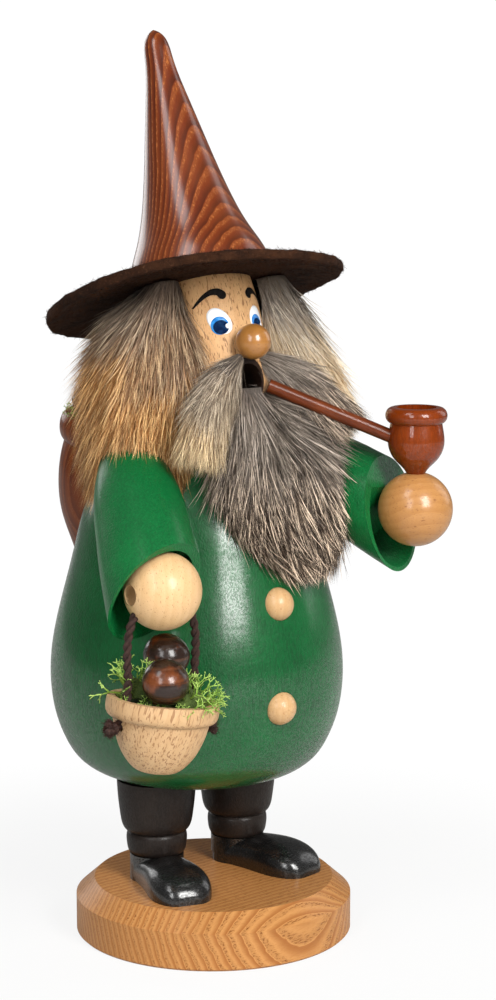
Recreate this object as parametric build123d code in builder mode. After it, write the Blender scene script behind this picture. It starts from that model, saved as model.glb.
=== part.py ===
from build123d import *
import os
from math import cos, radians, sin

os.makedirs("parts", exist_ok=True)

# Incense smoker: a gnome with a pipe, a basket and a backpack.
# Lengths are in millimetres and angles in degrees.
# The coat's front faces -Y, and the origin is the middle of the base's underside.

# Clearances
glue_gap = 0.1
running_gap = 0.08
seat_gap = 0.3
soft_gap = 0.3
cut_overrun = 3.0
search_steps = 50
end_weights = [0.5, 0.5]

# Base plate
base_radius = 38.8
base_thickness = 15.1
base_wall = 10.5
base_top_radius = 33.6
base_foot_chamfer = 0.6
base_bore_depth = 9.0

# Legs and boots, turned a little against the coat
coat_axis_y = 8.1
stand_turn = 4.5
leg_spacing = 29.2
leg_radius = 11.15
leg_length = 21.5
leg_tenon_radius = 3.5
leg_top_tenon_radius = 4.0
leg_top_tenon = 6.5
cuff_share = 0.765
leg_profile_shares = [
    (0.64, 0.0), (0.715, 0.043), (0.75, 0.114), (cuff_share, 0.219), (0.75, 0.27), (0.705, 0.307),
]
thigh_profile_shares = [
    (0.705, 0.307), (0.80, 0.335), (0.86, 0.386), (0.915, 0.512), (0.98, 0.814), (1.0, 1.0),
]
boot_height = 7.4
boot_heel_radius = 7.6
boot_half_width = 8.4
boot_rise = 8.6
boot_reach = 27.5
boot_side_share = 0.80
boot_section_shares = [
    (0.86, 0.84, 0.0), (0.86, 0.97, 0.30), (0.97, 1.0, 0.58),
    (0.95, 0.84, 0.80), (0.70, 0.52, 0.95), (0.40, 0.22, 1.0),
]
boot_splays = {"right": 18.0, "left": 10.5}
boot_heel_step = 0.5
boot_heel_block = 5.0
boot_heel_lift = 2.4

# Hip plug with the ember tray
plug_height = 9.0
socket_radius = 20.5
plug_vent_radius = 2.4
plug_vent_offset = 15.0
tray_radius = 10.5
tray_sheet = 0.8
tray_lip = 2.4
nail_shank_radius = 0.8
nail_head_radius = 2.2
nail_head_height = 1.1
nail_length = 6.0

# Coat
coat_radius = 41.2
coat_height = 103.7
coat_hem_gap = 0.3
chamber_radius = 18.5
chamber_height = 70.0
smoke_bore_radius = 4.2
smoke_bore_y = -4.5
coat_profile_shares = [
    (0.55, 0.0), (0.714, 0.020), (0.833, 0.055), (0.908, 0.103), (0.956, 0.152), (0.988, 0.210),
    (1.0, 0.277), (0.990, 0.344), (0.944, 0.441), (0.881, 0.538), (0.820, 0.634), (0.771, 0.710),
    (0.694, 0.788), (0.590, 0.865), (0.481, 0.923), (0.320, 0.971), (0.0, 1.0),
]
button_radius = 4.5
button_height = 3.4
button_peg_radius = 1.4
button_peg_length = 5.0
button_seat_depth = 0.8
button_heights = {"button_upper": 97.6, "button_lower": 69.8}
button_turns = {"button_upper": 3.3, "button_lower": 0.0}

# Head and hat, tilted back together
hat_tilt = 19.3
hat_seat_y = 4.5
hat_seat_z = 181.0
head_length = 36.0
head_radius = 14.1
head_profile_shares = [(0.94, 0.0), (0.985, 0.17), (1.0, 0.5), (0.95, 0.83), (0.82, 1.0)]
head_tenon_radius = 8.5
head_tenon = 14.0
mouth_radius = 4.3
mouth_drop = 29.6
nose_radius = 4.8
nose_proud_share = 0.88
nose_flat_share = 0.55
nose_drop = 20.4
nose_peg_radius = 1.2
nose_peg_length = 5.0
brim_radius = 41.0
brim_thickness = 2.6
brim_shift = (-2.1, 1.5)
brim_droop = 3.0
brim_flat_radius = 23.0
brim_bend_share = 0.36
brim_ways = [(1, 0), (3, -1)]
brim_bore_radius = 4.6
crown_radius = 20.0
crown_height = 71.3
crown_profile_shares = [
    (1.0, 0.0), (0.88, 0.106), (0.80, 0.155), (0.615, 0.31), (0.4475, 0.514), (0.295, 0.718),
    (0.195, 0.881), (0.135, 0.965), (0.0, 1.0),
]
hat_dowel_radius = 4.0
hat_dowel_length = 26.0

# Arms: shoulder and hand centres, and the way the long side of each cuff points
hand_radius = 10.2
shoulder_x = 27.0
shoulder_y = -3.0
shoulder_z = 138.0
hand_places = {"right": (-39.2, -34.8, 106.9), "left": (39.2, -40.5, 121.6)}
cuff_ways = {"right": (-0.73, 0.60, -0.32), "left": (-0.15, 0.12, -0.98)}
sleeve_radius = 13.5
sleeve_top = 4.0
sleeve_end_share = 0.985
sleeve_profile_shares = [
    (0.0, 1.0), (0.42, 0.94), (0.70, 0.80), (0.86, 0.62), (0.93, 0.40), (0.965, 0.25),
    (sleeve_end_share, -0.24),
]
cuff_offsets = {"right": 2.0, "left": 4.4}
cuff_tails = {"right": 7.5, "left": 3.2}
cuff_lips = {"right": 8.7, "left": 16.0}
cuff_wall = 0.9
cuff_bore_narrowing = 2.3
hand_dowel_radius = 1.8
hand_dowel_inset = 4.5
hand_dowel_length = 12.0
shoulder_dowel_radius = 2.0
shoulder_dowel_length = 20.0
shoulder_dowel_share = 0.74
shoulder_dowel_inset = 5.0

# Pipe
bowl_radius = 8.4
bowl_height = 18.1
bowl_profile_shares = [
    (0.30, 0.0), (0.36, 0.047), (0.69, 0.21), (0.86, 0.347), (0.915, 0.483), (0.885, 0.63), (0.84, 0.76),
]
bowl_rim_shares = [(0.84, 0.76), (0.985, 0.83), (1.0, 0.89), (0.93, 0.965), (0.76, 1.0)]
bowl_dish_radius = 5.4
bowl_dish_depth = 5.0
stem_radius = 1.85
stem_height_share = 0.403
stem_bore_depth = 3.0
stem_end = (5.2, -19.2, 155.6)
bowl_seat_depth = 0.4
pipe_dowel_radius = 1.2
pipe_dowel_length = 7.0

# Backpack
pack_radius = 14.9
pack_height = 45.0
pack_lean = 8.0
pack_x = -2.6
pack_y = 54.6
pack_z = 97.0
pack_profile_shares = [(0.47, 0.0), (0.60, 0.12), (0.85, 0.33), (0.955, 0.53), (0.95, 0.69), (0.89, 0.815)]
pack_rim_shares = [(0.89, 0.815), (0.98, 0.86), (1.0, 0.91), (0.98, 0.96), (0.90, 1.0)]
pack_hollow_radius = 11.4
pack_hollow_depth = 7.0
pack_dowel_radius = 2.0
pack_dowel_length = 15.0
pack_dowel_inset = 5.0
pack_dowel_share = 0.47
pack_moss_rise = 3.6
pack_cap_radius = 7.0
pack_cap_height = 6.4
pack_cap_x = -5.6
pack_cap_lift = 2.6
pack_stalk_radius = 2.2

# Basket on its cord
cord_radius = 1.0
hand_hole_radius = 2.75
basket_drop = 27.0
basket_tilt = 7.0
basket_radius = 14.8
basket_height = 19.0
basket_profile_shares = [(0.31, 0.0), (0.40, 0.03), (0.53, 0.12), (0.66, 0.26), (0.755, 0.42), (0.855, 0.71)]
basket_band_shares = [(0.875, 0.725), (0.965, 0.765), (1.0, 0.87), (0.985, 1.0)]
basket_wall = 2.4
basket_hollow_depth = 8.5
basket_hollow_narrowing = 2.2
cord_hole_drop = 7.2
cord_hole_share = 0.845
cord_side_gap = 0.4
cord_turn_radius = 2.2
cord_wall_turn_radius = 1.4
knot_radius = 2.3
knot_tail_radius = 1.7
knot_tail_drop = 2.4
moss_rise = 2.6
moss_mounds = {"outer": ((-9.0, 1.5, 4.2), 5.4), "inner": ((8.6, -1.0, 2.2), 5.4)}
basket_cap_radius = 6.1
basket_cap_height = 8.8
basket_stalk_radius = 1.7
basket_stalk_lengths = {"mushroom_front": 7.0, "mushroom_back": 11.5}
basket_cap_places = {"mushroom_front": (-3.5, -4.7, 3.4), "mushroom_back": (1.7, 4.4, 7.8)}
basket_cap_ways = {"mushroom_front": (-0.20, -0.66, 0.72), "mushroom_back": (0.09, -0.45, 0.88)}
cap_profile_shares = [(0.93, 0.0), (1.0, 0.20), (0.90, 0.56), (0.55, 0.88), (0.0, 1.0)]
ball_cap_shares = [(0.72, 0.0), (0.95, 0.17), (1.0, 0.38), (0.93, 0.63), (0.66, 0.87), (0.0, 1.0)]

# Fur, as plain solids of the outer shape
hair_top = 178.0
hair_half_width = 42.0
hair_half_depth = 36.5
hair_drop = 50.0
hair_y = -1.0
hair_shift = 4.5
hair_section_shares = [
    (0.62, 0.0, 0.0), (0.80, 0.0, 0.24), (0.93, 0.6, 0.45),
    (1.0, 1.0, 0.66), (0.99, 1.0, 0.82), (0.91, 0.6, 1.0),
]
face_half_angle = 60.0
beard_top = 153.0
beard_y = -17.5
beard_half_width = 27.0
beard_half_depth = 13.5
beard_length = 51.0
beard_lean = 9.0
beard_section_shares = [
    (0.33, 0.45, 0.0, 0.0), (0.67, 0.85, 0.11, 0.17), (1.0, 1.0, 0.28, 0.37), (0.93, 0.92, 0.26, 0.62),
    (0.69, 0.72, 0.42, 0.80), (0.44, 0.52, 0.52, 0.91), (0.18, 0.30, 0.52, 1.0),
]
moustache_sections = {
    "right": [
        ((-3.4, -18.5, 163.0), 2.2), ((-11.0, -22.5, 157.0), 5.6),
        ((-18.0, -25.0, 146.0), 8.0), ((-22.5, -27.0, 131.0), 6.6),
    ],
    "left": [
        ((3.4, -18.5, 163.6), 2.2), ((10.0, -22.0, 160.5), 5.0),
        ((18.5, -26.5, 152.5), 6.5), ((26.0, -30.5, 143.0), 5.4),
    ],
}
moustache_flatness_share = 0.62


def leg_place(side):
    return stand_plane.from_local_coords(Vector(side * leg_spacing / 2, 0, 0))


def upright(place):
    return Plane(origin=place, x_dir=(1, 0, 0), z_dir=(0, -1, 0))


def scaled(shares, radius, length):
    return [(radius * across, length * along) for across, along in shares]


def coat_points(extra):
    points = scaled(coat_profile_shares, coat_radius, coat_height)
    return [(across + extra, coat_bottom + along) for across, along in points[:-1]] + [
        (0, coat_bottom + coat_height + extra)
    ]


def coat_surface(height):
    low = 0.0
    high = 1.0
    for _ in range(search_steps):
        middle = (low + high) / 2
        if (coat_outline @ middle).Y < height:
            low = middle
        else:
            high = middle
    return (coat_outline @ low).X, (coat_outline % low)


# Levels
boot_top = base_thickness + boot_height
plug_bottom = boot_top + leg_length
plug_top = plug_bottom + plug_height
coat_bottom = plug_bottom + coat_hem_gap
plug_radius = socket_radius - running_gap
chamber_top = plug_top + chamber_height
coat_axis = Axis((0, coat_axis_y, 0), (0, 0, 1))
coat_section = upright((0, coat_axis_y, 0))
coat_outline = Spline(*coat_points(0))

# Button seats: planes on the coat's front, square to its surface
button_seats = {}
for name, height in button_heights.items():
    reach, slope = coat_surface(height)
    across = sin(radians(button_turns[name]))
    forward = cos(radians(button_turns[name]))
    button_seats[name] = Plane(
        origin=(reach * across, coat_axis_y - reach * forward, height),
        x_dir=(forward, across, 0),
        z_dir=(slope.Y * across, -slope.Y * forward, -slope.X),
    )

# Base plate with two bores for the legs' lower tenons
stand_plane = Plane(
    origin=(0, coat_axis_y, 0), x_dir=(cos(radians(stand_turn)), sin(radians(stand_turn)), 0), z_dir=(0, 0, 1)
)
leg_sides = {"right": -1, "left": 1}
leg_places = {name: leg_place(side) for name, side in leg_sides.items()}
with BuildPart() as base_plate:
    with BuildSketch(Plane.XZ):
        with BuildLine():
            Polyline(
                (0, 0),
                (base_radius - base_foot_chamfer, 0),
                (base_radius, base_foot_chamfer),
                (base_radius, base_wall),
                (base_top_radius, base_thickness),
                (0, base_thickness),
                close=True,
            )
        make_face()
    revolve(axis=Axis.Z)
    with Locations(*[(place.X, place.Y, base_thickness) for place in leg_places.values()]):
        Hole(leg_tenon_radius + glue_gap, depth=base_bore_depth)
base_plate.part.label = "base_plate"
export_step(base_plate.part, "parts/base_plate.step")

# Legs: cuff, groove and thigh, with a tenon at each end
lower_tenon = boot_height + base_bore_depth - seat_gap
for name, place in leg_places.items():
    with BuildPart() as leg:
        with BuildSketch(upright((place.X, place.Y, boot_top))):
            with BuildLine():
                cuff = Spline(*scaled(leg_profile_shares, leg_radius, leg_length))
                thigh = Spline(*scaled(thigh_profile_shares, leg_radius, leg_length))
                Polyline(
                    thigh @ 1,
                    (leg_top_tenon_radius, leg_length),
                    (leg_top_tenon_radius, leg_length + leg_top_tenon),
                    (0, leg_length + leg_top_tenon),
                    (0, -lower_tenon),
                    (leg_tenon_radius, -lower_tenon),
                    (leg_tenon_radius, 0),
                    cuff @ 0,
                )
            make_face()
        revolve(axis=Axis((place.X, place.Y, 0), (0, 0, 1)))
    leg.part.label = "leg_" + name
    export_step(leg.part, "parts/leg_" + name + ".step")

# Boots: a round heel and a lofted foot with a domed toe
for name, place in leg_places.items():
    turn = radians(stand_turn + leg_sides[name] * boot_splays[name])
    sole = Plane(
        origin=(place.X, place.Y, base_thickness), x_dir=(cos(turn), sin(turn), 0), z_dir=(0, 0, 1)
    )
    with BuildPart() as boot:
        for half_width_share, rise_share, reach_share in boot_section_shares:
            station = sole.from_local_coords(Vector(0, -boot_reach * reach_share, 0))
            half_width = boot_half_width * half_width_share
            rise = boot_rise * rise_share
            with BuildSketch(Plane(origin=station, x_dir=sole.x_dir, z_dir=-sole.y_dir)):
                with BuildLine():
                    floor = Line((-half_width, 0), (half_width, 0))
                    Spline(
                        floor @ 1,
                        (half_width * boot_side_share, rise * boot_side_share),
                        (0, rise),
                        (-half_width * boot_side_share, rise * boot_side_share),
                        floor @ 0,
                    )
                make_face()
        loft()
        with BuildSketch(sole):
            Circle(boot_heel_radius)
        extrude(amount=boot_height)
        with BuildSketch(sole):
            with Locations((0, boot_heel_radius)):
                Rectangle(boot_heel_radius * 2, boot_heel_block * 2)
            Circle(boot_heel_radius - boot_heel_step, mode=Mode.SUBTRACT)
        extrude(amount=boot_heel_lift, mode=Mode.SUBTRACT)
        with BuildSketch(Plane(origin=sole.from_local_coords(Vector(0, 0, boot_height)), z_dir=(0, 0, 1))):
            Circle(leg_radius * cuff_share + seat_gap)
        extrude(amount=boot_rise, mode=Mode.SUBTRACT)
        with Locations((place.X, place.Y, boot_top)):
            Hole(leg_tenon_radius + glue_gap)
    boot.part.label = "boot_" + name
    export_step(boot.part, "parts/boot_" + name + ".step")

# Hip plug: glued on the legs, with vents that feed air to the cone
with BuildPart() as hip_plug:
    with BuildSketch(Plane.XY.offset(plug_bottom)):
        with Locations((0, coat_axis_y)):
            Circle(plug_radius)
    extrude(amount=plug_height)
    with BuildSketch(Plane.XY.offset(plug_bottom)):
        with Locations(*[(place.X, place.Y) for place in leg_places.values()]):
            Circle(leg_top_tenon_radius + glue_gap)
    extrude(amount=leg_top_tenon + seat_gap, mode=Mode.SUBTRACT)
    with Locations(
        (0, coat_axis_y - plug_vent_offset, plug_top), (0, coat_axis_y + plug_vent_offset, plug_top)
    ):
        Hole(plug_vent_radius)
    with Locations((0, coat_axis_y, plug_top)):
        Hole(nail_shank_radius + glue_gap, depth=nail_length)
hip_plug.part.label = "hip_plug"
export_step(hip_plug.part, "parts/hip_plug.step")

# Ember tray: a pressed dish, nailed to the plug
with BuildPart() as ember_tray:
    with BuildSketch(upright((0, coat_axis_y, plug_top))):
        with BuildLine():
            Polyline(
                (nail_shank_radius + glue_gap, 0),
                (tray_radius, 0),
                (tray_radius, tray_lip),
                (tray_radius - tray_sheet, tray_lip),
                (tray_radius - tray_sheet, tray_sheet),
                (nail_shank_radius + glue_gap, tray_sheet),
                close=True,
            )
        make_face()
    revolve(axis=coat_axis)
ember_tray.part.label = "ember_tray"
export_step(ember_tray.part, "parts/ember_tray.step")

with BuildPart() as tray_nail:
    with BuildSketch(upright((0, coat_axis_y, plug_top + tray_sheet))):
        with BuildLine():
            Polyline(
                (0, nail_head_height),
                (0, -nail_length + seat_gap),
                (nail_shank_radius, -nail_length + seat_gap),
                (nail_shank_radius, 0),
                (nail_head_radius, 0),
            )
            TangentArc((0, nail_head_height), (nail_head_radius, 0), tangent=(1, 0))
        make_face()
    revolve(axis=coat_axis)
tray_nail.part.label = "tray_nail"
export_step(tray_nail.part, "parts/tray_nail.step")

# Head frame: +Z runs up the tilted axis and -Y points out of the face
head_frame = Plane(
    origin=(0, hat_seat_y, hat_seat_z),
    x_dir=(1, 0, 0),
    z_dir=(0, sin(radians(hat_tilt)), cos(radians(hat_tilt))),
)
head_axis = Axis(head_frame.origin, head_frame.z_dir)


def on_head(across, forward, drop):
    return head_frame.from_local_coords(Vector(across, -forward, -drop))


def head_section(drop):
    return Plane(origin=on_head(0, 0, drop), x_dir=(1, 0, 0), z_dir=head_frame.y_dir * -1)


def head_level(drop):
    return Plane(origin=on_head(0, 0, drop), x_dir=(1, 0, 0), z_dir=head_frame.z_dir)


def brim_line(lift):
    bend = ((brim_flat_radius + brim_radius) / 2, lift - brim_droop * brim_bend_share)
    return [(brim_flat_radius, lift), bend, (brim_radius, lift - brim_droop)]


# Arm frames: origin in the middle of the cuff, +Z up the arm and +X towards the cuff's long side
shoulder_places = {
    name: Vector(side * shoulder_x, shoulder_y, shoulder_z) for name, side in leg_sides.items()
}
arm_frames = {}
arm_lengths = {}
for name in leg_sides:
    reach = shoulder_places[name] - Vector(*hand_places[name])
    way = Vector(*cuff_ways[name])
    across = (way - reach.normalized() * way.dot(reach.normalized())).normalized()
    arm_frames[name] = Plane(
        origin=Vector(*hand_places[name]) + across * cuff_offsets[name],
        x_dir=across,
        z_dir=reach.normalized(),
    )
    arm_lengths[name] = reach.length


def arm_point(name, across, up):
    return arm_frames[name].from_local_coords(Vector(across, 0, up))


def arm_section(name):
    frame = arm_frames[name]
    return Plane(origin=frame.origin, x_dir=frame.x_dir, z_dir=frame.y_dir * -1)


def shoulder_peg_plane(name):
    place = arm_point(name, 0, arm_lengths[name] * shoulder_dowel_share)
    inward = (Vector(0, coat_axis_y, place.Z) - place).normalized()
    return Plane(origin=place - inward * shoulder_dowel_inset, z_dir=inward)


# Backpack frame: origin in the middle of its foot, leaning forward at the top
pack_frame = Plane(
    origin=(pack_x, pack_y, pack_z),
    x_dir=(1, 0, 0),
    z_dir=(0, -sin(radians(pack_lean)), cos(radians(pack_lean))),
)
pack_section = Plane(origin=pack_frame.origin, x_dir=(1, 0, 0), z_dir=pack_frame.y_dir * -1)
pack_axis = Axis(pack_frame.origin, pack_frame.z_dir)
pack_dowel_place = pack_frame.from_local_coords(Vector(0, -pack_dowel_inset, pack_height * pack_dowel_share))
pack_dowel_plane = Plane(origin=pack_dowel_place, x_dir=(1, 0, 0), z_dir=(0, -1, 0))

# Rooms: grown outlines that the glued and soft pieces keep clear of
rooms = {}
for room_name, growth in (("coat_glue", glue_gap), ("coat_soft", soft_gap)):
    with BuildPart() as room:
        with BuildSketch(coat_section):
            with BuildLine():
                wall = Spline(*coat_points(growth))
                Polyline(wall @ 1, (0, 0), ((wall @ 0).X, 0), wall @ 0)
            make_face()
        revolve(axis=coat_axis)
    rooms[room_name] = room.part

# Coat: turned shell with its socket, chamber, neck bore and peg holes
with BuildPart() as coat:
    with BuildSketch(coat_section):
        with BuildLine():
            shell = Spline(*coat_points(0))
            Polyline(
                shell @ 1,
                (0, chamber_top),
                (chamber_radius, chamber_top),
                (chamber_radius, plug_top),
                (socket_radius, plug_top),
                (socket_radius, coat_bottom),
                shell @ 0,
            )
        make_face()
    revolve(axis=coat_axis)
    with BuildSketch(head_level(head_length)):
        Circle(head_radius + glue_gap)
    extrude(amount=head_length, mode=Mode.SUBTRACT)
    with BuildSketch(head_level(head_length + head_tenon + seat_gap)):
        Circle(head_tenon_radius + glue_gap)
    extrude(amount=head_length, mode=Mode.SUBTRACT)
    with BuildSketch(Plane.XY.offset(chamber_top - cut_overrun)):
        with Locations((0, smoke_bore_y)):
            Circle(smoke_bore_radius)
    extrude(amount=on_head(0, 0, head_length + head_tenon).Z - chamber_top + smoke_bore_radius + cut_overrun,
            mode=Mode.SUBTRACT)
    for seat in button_seats.values():
        with BuildSketch(seat.offset(-button_seat_depth)):
            Circle(button_radius + glue_gap)
        extrude(amount=button_seat_depth + cut_overrun, mode=Mode.SUBTRACT)
        with BuildSketch(seat.offset(-button_seat_depth - button_peg_length - seat_gap)):
            Circle(button_peg_radius + glue_gap)
        extrude(amount=button_peg_length + button_seat_depth + cut_overrun, mode=Mode.SUBTRACT)
    for name in leg_sides:
        with BuildSketch(shoulder_peg_plane(name)):
            Circle(shoulder_dowel_radius + glue_gap)
        extrude(amount=shoulder_dowel_length + seat_gap, mode=Mode.SUBTRACT)
    with BuildSketch(pack_dowel_plane):
        Circle(pack_dowel_radius + glue_gap)
    extrude(amount=pack_dowel_length + seat_gap, mode=Mode.SUBTRACT)
coat.part.label = "coat"
export_step(coat.part, "parts/coat.step")

# Buttons: turned domes with pegs, each on its flat seat in the coat's front
for name, seat in button_seats.items():
    foot = seat.offset(-button_seat_depth)
    with BuildPart() as button:
        with BuildSketch(Plane(origin=foot.origin, x_dir=foot.x_dir, z_dir=foot.y_dir * -1)):
            with BuildLine():
                Polyline(
                    (0, button_height + button_seat_depth),
                    (0, -button_peg_length),
                    (button_peg_radius, -button_peg_length),
                    (button_peg_radius, 0),
                    (button_radius, 0),
                    (button_radius, button_seat_depth),
                )
                TangentArc(
                    (0, button_height + button_seat_depth), (button_radius, button_seat_depth), tangent=(1, 0)
                )
            make_face()
        revolve(axis=Axis(foot.origin, foot.z_dir))
    button.part.label = name
    export_step(button.part, "parts/" + name + ".step")

# Head: barrel with a tenon, a smoke channel and the open mouth
nose_surface = head_radius - glue_gap
with BuildPart() as head:
    with BuildSketch(head_section(0)):
        with BuildLine():
            cheek = Spline(*scaled(head_profile_shares, head_radius, -head_length))
            Polyline(
                cheek @ 1,
                (head_tenon_radius, -head_length),
                (head_tenon_radius, -head_length - head_tenon),
                (0, -head_length - head_tenon),
                (0, 0),
                cheek @ 0,
            )
        make_face()
    revolve(axis=head_axis)
    with BuildSketch(head_level(head_length + head_tenon)):
        Circle(smoke_bore_radius)
    extrude(amount=head_length + head_tenon - mouth_drop, mode=Mode.SUBTRACT)
    with BuildSketch(Plane(origin=on_head(0, 0, mouth_drop), x_dir=(1, 0, 0), z_dir=head_frame.y_dir * -1)):
        Circle(mouth_radius)
    extrude(amount=head_radius + cut_overrun, mode=Mode.SUBTRACT)
    with BuildSketch(head_level(hat_dowel_length / 2)):
        Circle(hat_dowel_radius + glue_gap)
    extrude(amount=hat_dowel_length, mode=Mode.SUBTRACT)
    nose_seat = Plane(
        origin=on_head(0, nose_surface - nose_peg_length, nose_drop),
        x_dir=(1, 0, 0),
        z_dir=head_frame.y_dir * -1,
    )
    with BuildSketch(nose_seat):
        Circle(nose_peg_radius + glue_gap)
    extrude(amount=nose_peg_length + cut_overrun, mode=Mode.SUBTRACT)
    with BuildSketch(nose_seat.offset(nose_peg_length - glue_gap * 2)):
        Circle(nose_radius * nose_flat_share)
    extrude(amount=cut_overrun, mode=Mode.SUBTRACT)
head.part.label = "head"
export_step(head.part, "parts/head.step")

# Nose: ball with a peg, its back flattened on the face
nose_centre = nose_surface + nose_radius * nose_proud_share
with BuildPart() as nose:
    nose_plane = Plane(
        origin=on_head(0, nose_centre, nose_drop), x_dir=(1, 0, 0), z_dir=head_frame.y_dir * -1
    )
    with Locations(nose_plane):
        Sphere(nose_radius)
    split(bisect_by=nose_plane.offset(nose_surface - nose_centre), keep=Keep.TOP)
    with BuildSketch(nose_seat.offset(seat_gap)):
        Circle(nose_peg_radius)
    extrude(amount=nose_peg_length)
nose.part.label = "nose"
export_step(nose.part, "parts/nose.step")

# Hat: felt brim held between head and crown by one dowel
brim_place = on_head(brim_shift[0], -brim_shift[1], 0)
brim_section = Plane(origin=brim_place, x_dir=(1, 0, 0), z_dir=head_frame.y_dir * -1)
brim_axis = Axis(brim_place, head_frame.z_dir)
with BuildPart() as hat_brim:
    with BuildSketch(brim_section):
        with BuildLine():
            under = Spline(*brim_line(0), tangents=brim_ways, tangent_scalars=end_weights)
            over = Spline(*brim_line(brim_thickness), tangents=brim_ways, tangent_scalars=end_weights)
            Line(under @ 1, over @ 1)
            Polyline(under @ 0, (0, 0), (0, brim_thickness), over @ 0)
        make_face()
    revolve(axis=brim_axis)
    with BuildSketch(head_level(cut_overrun)):
        Circle(brim_bore_radius)
    extrude(amount=brim_thickness + cut_overrun * 2, mode=Mode.SUBTRACT)
hat_brim.part.label = "hat_brim"
export_step(hat_brim.part, "parts/hat_brim.step")

with BuildPart() as hat_crown:
    with BuildSketch(head_section(-brim_thickness)):
        with BuildLine():
            cone = Spline(*scaled(crown_profile_shares, crown_radius, crown_height))
            Polyline(cone @ 1, (0, 0), cone @ 0)
        make_face()
    revolve(axis=head_axis)
    with BuildSketch(head_level(-brim_thickness)):
        Circle(hat_dowel_radius + glue_gap)
    extrude(amount=hat_dowel_length / 2, mode=Mode.SUBTRACT)
hat_crown.part.label = "hat_crown"
export_step(hat_crown.part, "parts/hat_crown.step")

with BuildPart() as hat_dowel:
    with BuildSketch(head_level(hat_dowel_length / 2 - seat_gap)):
        Circle(hat_dowel_radius)
    extrude(amount=hat_dowel_length)
hat_dowel.part.label = "hat_dowel"
export_step(hat_dowel.part, "parts/hat_dowel.step")

# Sleeves: turned arms, sawn aslant at the cuff, hollowed for the hand and fitted to the coat
for name in leg_sides:
    section = arm_section(name)
    axis = Axis(arm_frames[name].origin, arm_frames[name].z_dir)
    length = arm_lengths[name] + sleeve_top
    bore_mouth = sleeve_radius * sleeve_end_share - cuff_wall
    with BuildPart() as sleeve:
        with BuildSketch(section):
            with BuildLine():
                arm = Spline(
                    *scaled(sleeve_profile_shares, sleeve_radius, length),
                    tangents=[(1, 0), (0, -1)],
                    tangent_scalars=end_weights,
                )
                Polyline(arm @ 1, (0, (arm @ 1).Y), arm @ 0)
            make_face()
        revolve(axis=axis)
        with BuildSketch(section):
            with BuildLine():
                Polyline(
                    (sleeve_radius + cut_overrun, -cuff_tails[name]),
                    (sleeve_radius, -cuff_tails[name]),
                    (-sleeve_radius, cuff_lips[name]),
                    (-sleeve_radius - cut_overrun, cuff_lips[name]),
                    (-sleeve_radius - cut_overrun, -length),
                    (sleeve_radius + cut_overrun, -length),
                    close=True,
                )
            make_face()
        extrude(amount=sleeve_radius + cut_overrun, both=True, mode=Mode.SUBTRACT)
        with BuildSketch(section):
            with BuildLine():
                Polyline(
                    (0, hand_radius + seat_gap),
                    (bore_mouth - cuff_bore_narrowing, hand_radius + seat_gap),
                    (bore_mouth, 0),
                    (bore_mouth, -length),
                    (0, -length),
                    close=True,
                )
            make_face()
        revolve(axis=axis, mode=Mode.SUBTRACT)
        palm = arm_point(name, -cuff_offsets[name], hand_radius)
        with BuildSketch(Plane(origin=palm, z_dir=arm_frames[name].z_dir)):
            Circle(hand_dowel_radius + glue_gap)
        extrude(amount=hand_dowel_inset + hand_dowel_length - hand_radius + seat_gap, mode=Mode.SUBTRACT)
        add(rooms["coat_glue"], mode=Mode.SUBTRACT)
        with BuildSketch(shoulder_peg_plane(name).offset(-seat_gap)):
            Circle(shoulder_dowel_radius + glue_gap)
        extrude(amount=shoulder_dowel_length, mode=Mode.SUBTRACT)
    sleeve.part.label = "sleeve_" + name
    export_step(sleeve.part, "parts/sleeve_" + name + ".step")

    with BuildPart() as shoulder_dowel:
        with BuildSketch(shoulder_peg_plane(name)):
            Circle(shoulder_dowel_radius)
        extrude(amount=shoulder_dowel_length)
    shoulder_dowel.part.label = "shoulder_dowel_" + name
    export_step(shoulder_dowel.part, "parts/shoulder_dowel_" + name + ".step")

# Pipe places: the bowl's foot stands on the left hand, and the stem runs up to the corner of the mouth
bowl_foot = Vector(*hand_places["left"]) + Vector(0, 0, hand_radius - bowl_seat_depth)
bowl_axis = Axis(bowl_foot, (0, 0, 1))
stem_root = bowl_foot + Vector(0, 0, bowl_height * stem_height_share)
stem_way = (Vector(*stem_end) - stem_root).normalized()
stem_start = stem_root + stem_way * (bowl_radius - stem_bore_depth)
stem_length = (Vector(*stem_end) - stem_start).length

# Hands: balls on dowels, the right one bored across for the basket's cord
for name in leg_sides:
    centre = Vector(*hand_places[name])
    dowel_foot = arm_point(name, -cuff_offsets[name], hand_dowel_inset)
    dowel_plane = Plane(origin=dowel_foot, z_dir=arm_frames[name].z_dir)
    with BuildPart() as hand:
        with Locations(centre):
            Sphere(hand_radius, rotation=(0, 0, -90))
        with BuildSketch(dowel_plane.offset(-seat_gap)):
            Circle(hand_dowel_radius + glue_gap)
        extrude(amount=hand_dowel_length, mode=Mode.SUBTRACT)
        if name == "right":
            with BuildSketch(Plane(origin=centre, x_dir=(0, 1, 0), z_dir=(1, 0, 0))):
                Circle(hand_hole_radius)
            extrude(amount=hand_radius + cut_overrun, both=True, mode=Mode.SUBTRACT)
        else:
            with BuildSketch(Plane.XY.offset(bowl_foot.Z)):
                with Locations((bowl_foot.X, bowl_foot.Y)):
                    Circle(bowl_radius)
            extrude(amount=hand_radius, mode=Mode.SUBTRACT)
            with BuildSketch(Plane.XY.offset(bowl_foot.Z - pipe_dowel_length / 2 - seat_gap)):
                with Locations((bowl_foot.X, bowl_foot.Y)):
                    Circle(pipe_dowel_radius + glue_gap)
            extrude(amount=pipe_dowel_length, mode=Mode.SUBTRACT)
    hand.part.label = "hand_" + name
    export_step(hand.part, "parts/hand_" + name + ".step")

    with BuildPart() as hand_dowel:
        with BuildSketch(dowel_plane):
            Circle(hand_dowel_radius)
        extrude(amount=hand_dowel_length)
    hand_dowel.part.label = "hand_dowel_" + name
    export_step(hand_dowel.part, "parts/hand_dowel_" + name + ".step")

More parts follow.
